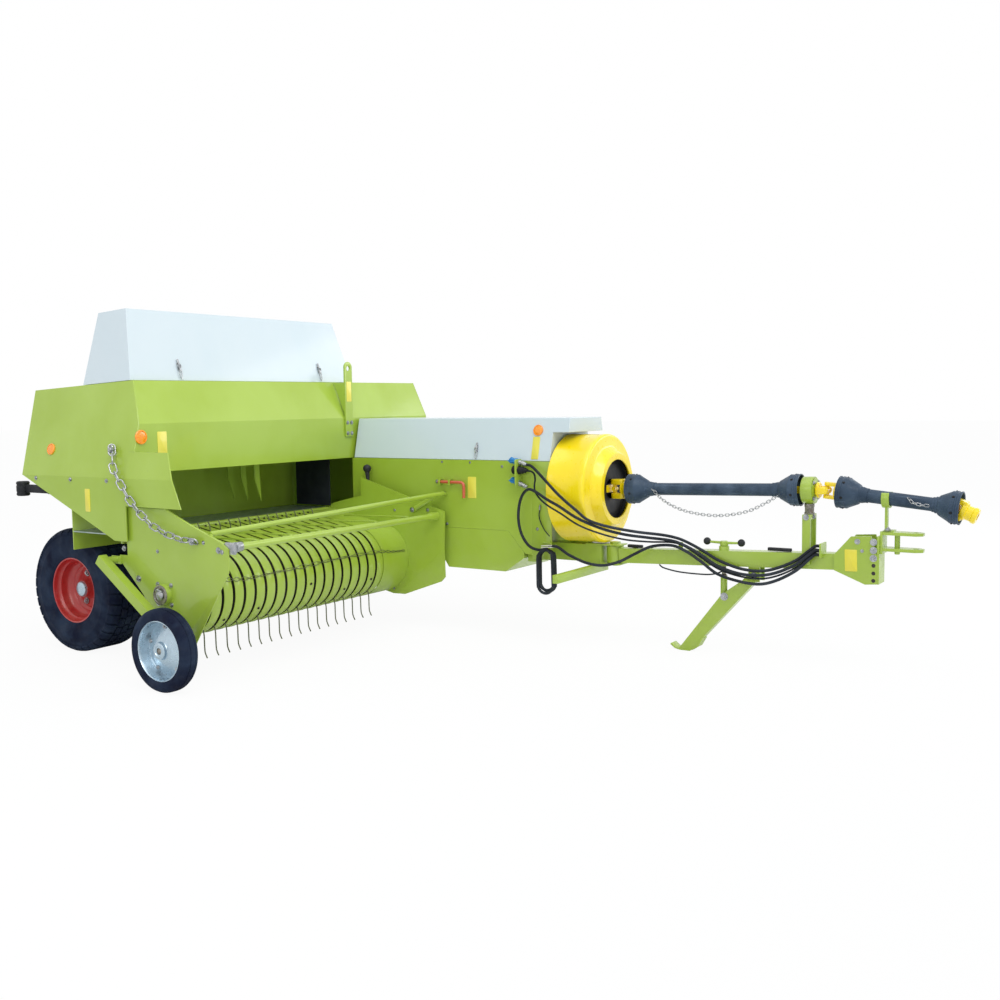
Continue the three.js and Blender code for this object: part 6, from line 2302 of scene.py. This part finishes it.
@dataclass
class Fittings:
    """Blank plates, reflectors, latches, handle, couplings, lamps and bolts on the bodywork."""

    hood_face: float = -779.6
    skirt_face: float = -1150.4
    wall_face: float = 528.6
    cover_low: float = 1019.5
    cover_lean: float = 0.2306
    cover_normal: Triple = (0, -0.974, 0.225)
    hood_end_low: float = 995
    hood_end_lean: float = 115 / 490

    def cover_point(self, x: float, z: float) -> Triple:
        """A point on the front cover's leaning side."""
        return (x, self.wall_face + (z - self.cover_low) * self.cover_lean - 0.3, z)

    def hood_end_point(self, x: float, z: float) -> Triple:
        """A point on the hood's leaning right end."""
        return (x, self.skirt_face + 0.1 + (z - self.hood_end_low) * self.hood_end_lean, z)

    def plates(self) -> None:
        """Blank yellow plates, each on its panel."""
        lean = self.cover_normal
        for plate in (
            Plate("skirt_plate", Body.CHASSIS, (-1116, self.skirt_face, 876), AHEAD, RIGHT, (40, 118)),
            Plate("hood_plate", Body.CHASSIS, (self.hood_face, -941, 1163), LEFT, AHEAD, (60, 120)),
            Plate("lifting_plate_label", Body.CHASSIS, (-767.8, 502, 1425), LEFT, AHEAD, (44, 122)),
            Plate("housing_plate", Body.CHASSIS, (122, self.wall_face, 859), AHEAD, RIGHT, (58, 124)),
            Plate("cover_plate", Body.FRONT_LID, self.cover_point(545, 1091), AHEAD, lean, (46, 128)),
        ):
            plate.build()
        Reflector("hood_reflector", Body.CHASSIS, (self.hood_face, -1074, 1199), AHEAD, 33).build()
        Reflector(
            "hood_end_reflector", Body.CHASSIS, self.hood_end_point(-1442, 1133), (0, -0.973, 0.228), 27,
        ).build()
        Reflector("cover_reflector", Body.FRONT_LID, self.cover_point(550, 1189), lean, 28).build()

    def latches(self) -> None:
        """Two latches on the top cover and one on the front cover."""
        slope = Vector((1, 0, 0.265)).normalized()
        for name, y in (("top_latch_right", -703), ("top_latch_left", 390)):
            Latch(name, Body.TOP_LID, (-905.6, y, 1545), tuple(slope), 108).build()
        Latch("front_latch", Body.FRONT_LID, self.cover_point(150, 1070), self.cover_normal, 96).build()

    def crank(self) -> None:
        """The red crank on the housing, in its clip."""
        y = self.wall_face - 19
        shape = Shape()
        line = [
            (-104, y, 888), (-30, y, 888), (52, y, 888), (66, y, 885), (74, y, 877), (76, y, 864),
            (76, y, 798),
        ]
        shape.tube(line, 9, 16)
        shape.piece("crank_handle", Body.CHASSIS, Finish.HANDLE)
        clip = Shape()
        for x in (-96, -26):
            clip.box((x, x + 12), (y - 14, y - 11), (874, 902))
            clip.box((x, x + 12), (y - 14, self.wall_face - 0.2), (902, 905))
            clip.box((x, x + 12), (y - 14, self.wall_face - 0.2), (871, 874))
        clip.rounded(0.8, 2, 50)
        clip.piece("crank_clips", Body.CHASSIS, Finish.GREEN)
        bolts(
            "housing_bolts", Body.CHASSIS,
            [Bolt((-128, self.wall_face, 888), 0.8), Bolt((330, self.wall_face, 985), 0.6)],
        )

    def couplings(self) -> None:
        """The parked couplings in their plate, the lighting plug, the cheek's wire and the hose tie."""
        plate = Shape()
        plate.slab((150, 66), 10, (-4, 4), facing((459, 495, 955), UP, AHEAD))
        plate.rounded(1, 2, 50)
        plate.piece("coupling_plate", Body.CHASSIS, Finish.GREEN, "hose_holder")
        for name, cap_end, hose_end in (
            ("coupling_upper", (402, 499, 1026), (513, 499, 1000)),
            ("coupling_lower", (412, 499, 915), (515, 499, 875)),
        ):
            lay = facing(hose_end, LEFT, tuple(Vector(cap_end) - Vector(hose_end)))
            steel, cap = Shape(), Shape()
            steel.lathe(
                Axis.Z,
                [
                    (0, 1), (9, 1), (10, 12), (13, 15), (13, 27), (11, 29), (11, 34), (14, 36), (14, 52),
                    (12, 54), (12, 60), (0, 60),
                ],
                (0, 0, 0), 28,
            )
            steel.turn_all(lay)
            steel.piece(name, Body.CHASSIS, Finish.ZINC)
            cap.lathe(
                Axis.Z,
                [
                    (0, 60.4), (14, 60.4), (19, 64), (19, 78), (15, 82), (15, 94), (18, 98), (18, 106),
                    (13, 112), (0, 112),
                ],
                (0, 0, 0), 28,
            )
            for side in (-1, 1):
                cap.tube(
                    [
                        (side * 16, 0, 70), (side * 27, 2, 80), (side * 31, 4, 96), (side * 24, 3, 110),
                        (side * 14, 1, 104),
                    ],
                    3.4, 8,
                )
            cap.turn_all(lay)
            cap.piece(name + "_cap", Body.CHASSIS, Finish.CAP)
        plug = Shape()
        plug.lathe(Axis.X, [
            (0, 424), (20, 424), (24, 428), (25, 446), (22, 449), (22, 453), (24, 455), (24, 469), (20, 472),
            (20, 490), (15, 494), (15, 506), (9, 512), (7, 520), (0, 520),
        ], (0, 497, 969), 32)
        plug.piece("lighting_plug", Body.CHASSIS, Finish.FLAG)
        wire = Shape()
        y = self.wall_face - 6
        wire.tube(
            smooth_path(
                [(580, y, 748), (577, y - 3, 716), (587, y - 4, 682), (612, y - 6, 640), (649, y - 12, 606)],
                6,
            ),
            3, 8,
        )
        wire.piece("cheek_wire", Body.CHASSIS, Finish.HOSE)
        end = Shape()
        end.tube([(580, y, 748), (581, y, 762), (582, y, 776)], [5, 6, 4], 10)
        end.piece("cheek_wire_end", Body.CHASSIS, Finish.ZINC)
        tie = Shape()
        for z in (550, 560):
            tie.tube(
                [
                    (624, 462, z - 4), (650, 456, z), (680, 458, z + 3), (702, 468, z + 2), (704, 492, z),
                    (690, 506, z),
                ],
                2.4, 8,
            )
        tie.piece("hose_tie", Body.CHASSIS, Finish.TIE)

    def yoke(self) -> None:
        """The yellow yoke on the flywheel's shaft, behind the first joint."""
        shape = Shape()
        shape.slab((102, 42), 12, (-26, 28), facing((870, LINE_Y, 860), LEFT, AHEAD))
        shape.lathe(Axis.X, [(0, 836), (34.6, 836), (38, 840), (38, 850), (0, 850)], (0, LINE_Y, 860), 36)
        shape.rounded(3, 2, 50)
        shape.piece("flywheel_yoke", Body.FLYWHEEL, Finish.YELLOW)

    def lamps(self) -> None:
        """The tail lamps: a ribbed black housing and its bracket."""
        for name, y in (("right", -985), ("left", 1165)):
            shape = Shape()
            profile = [
                (0, 860), (30, 860), (36, 866), (36, 874), (34, 876), (34, 884), (36, 886), (36, 916),
                (34, 918), (34, 926), (36, 928), (36, 936), (30, 942), (0, 942),
            ]
            shape.lathe(Axis.Z, profile, (-1905, y, 0), 36)
            shape.box((-1880, -1621), (y - 8, y + 8), (880, 925))
            shape.box((-1641, -1601), (y - 30, y + 30), (880, 994.6))
            shape.rounded(1.5, 2, 50)
            shape.piece(f"tail_lamp_{name}_case", Body.CHASSIS, Finish.LAMP_CASE, f"tail_lamp_{name}")

    def panel_bolts(self) -> None:
        """Bolts of the lifting plate, the hood, the deflector and the feeder's mouth."""
        face = -767.9
        places = [Bolt((face, y, z), 0.9, AHEAD) for y in (484, 520) for z in (1236, 1171)]
        bolts("lifting_plate_bolts", Body.CHASSIS, places)
        wall = self.wall_face
        sides = [Bolt((x, wall, 1004), 0.5) for x in (-90, 110, 430)]
        sides += [Bolt((x, wall, 640), 0.7) for x in (-60, 560)]
        skirt = [Bolt((x, self.skirt_face, 980), 0.8) for x in (-1540, -1250, -960)]
        bolts("panel_bolts", Body.CHASSIS, sides + skirt)

    def build(self) -> None:
        """All of them."""
        self.plates()
        self.latches()
        self.crank()
        self.couplings()
        self.yoke()
        self.lamps()
        self.panel_bolts()


# ---------------------------------------------------------------- the machine


def dress_nodes() -> None:
    """Gives every CAD node that is still shown a finish of its own."""
    finishes = {
        "green": Finish.GREEN, "cover": Finish.COVER, "yellow": Finish.YELLOW, "red": Finish.RED,
        "tyre": Finish.TYRE, "guard": Finish.GUARD, "bare": Finish.STEEL, "zinc": Finish.ZINC,
        "black": Finish.HOSE, "grey": Finish.FLOOR_ZINC,
    }
    for node in frame["nodes"].values():
        slots = node.material_slots
        for place in slots:
            word = (place.material.name if place.material else "bare").split("_")[0]
            place.material = finishes.get(word, Finish.STEEL).material


def main() -> None:
    """Builds the machine in order."""
    logging.basicConfig(level=logging.INFO, format="%(name)s %(message)s")
    Studio().build()
    Hoses().build()
    dress_nodes()
    Bodywork().build()
    MainWheel("right", Body.WHEEL_RIGHT, -835, -1).build()
    MainWheel("left", Body.WHEEL_LEFT, 1200, 1).build()
    GaugeWheel().build()
    Pickup().build()
    LiftChain().build()
    DriveLine().build()
    Jack().build()
    TongueFittings().build()
    Fittings().build()


if __name__ == "__main__":
    main()
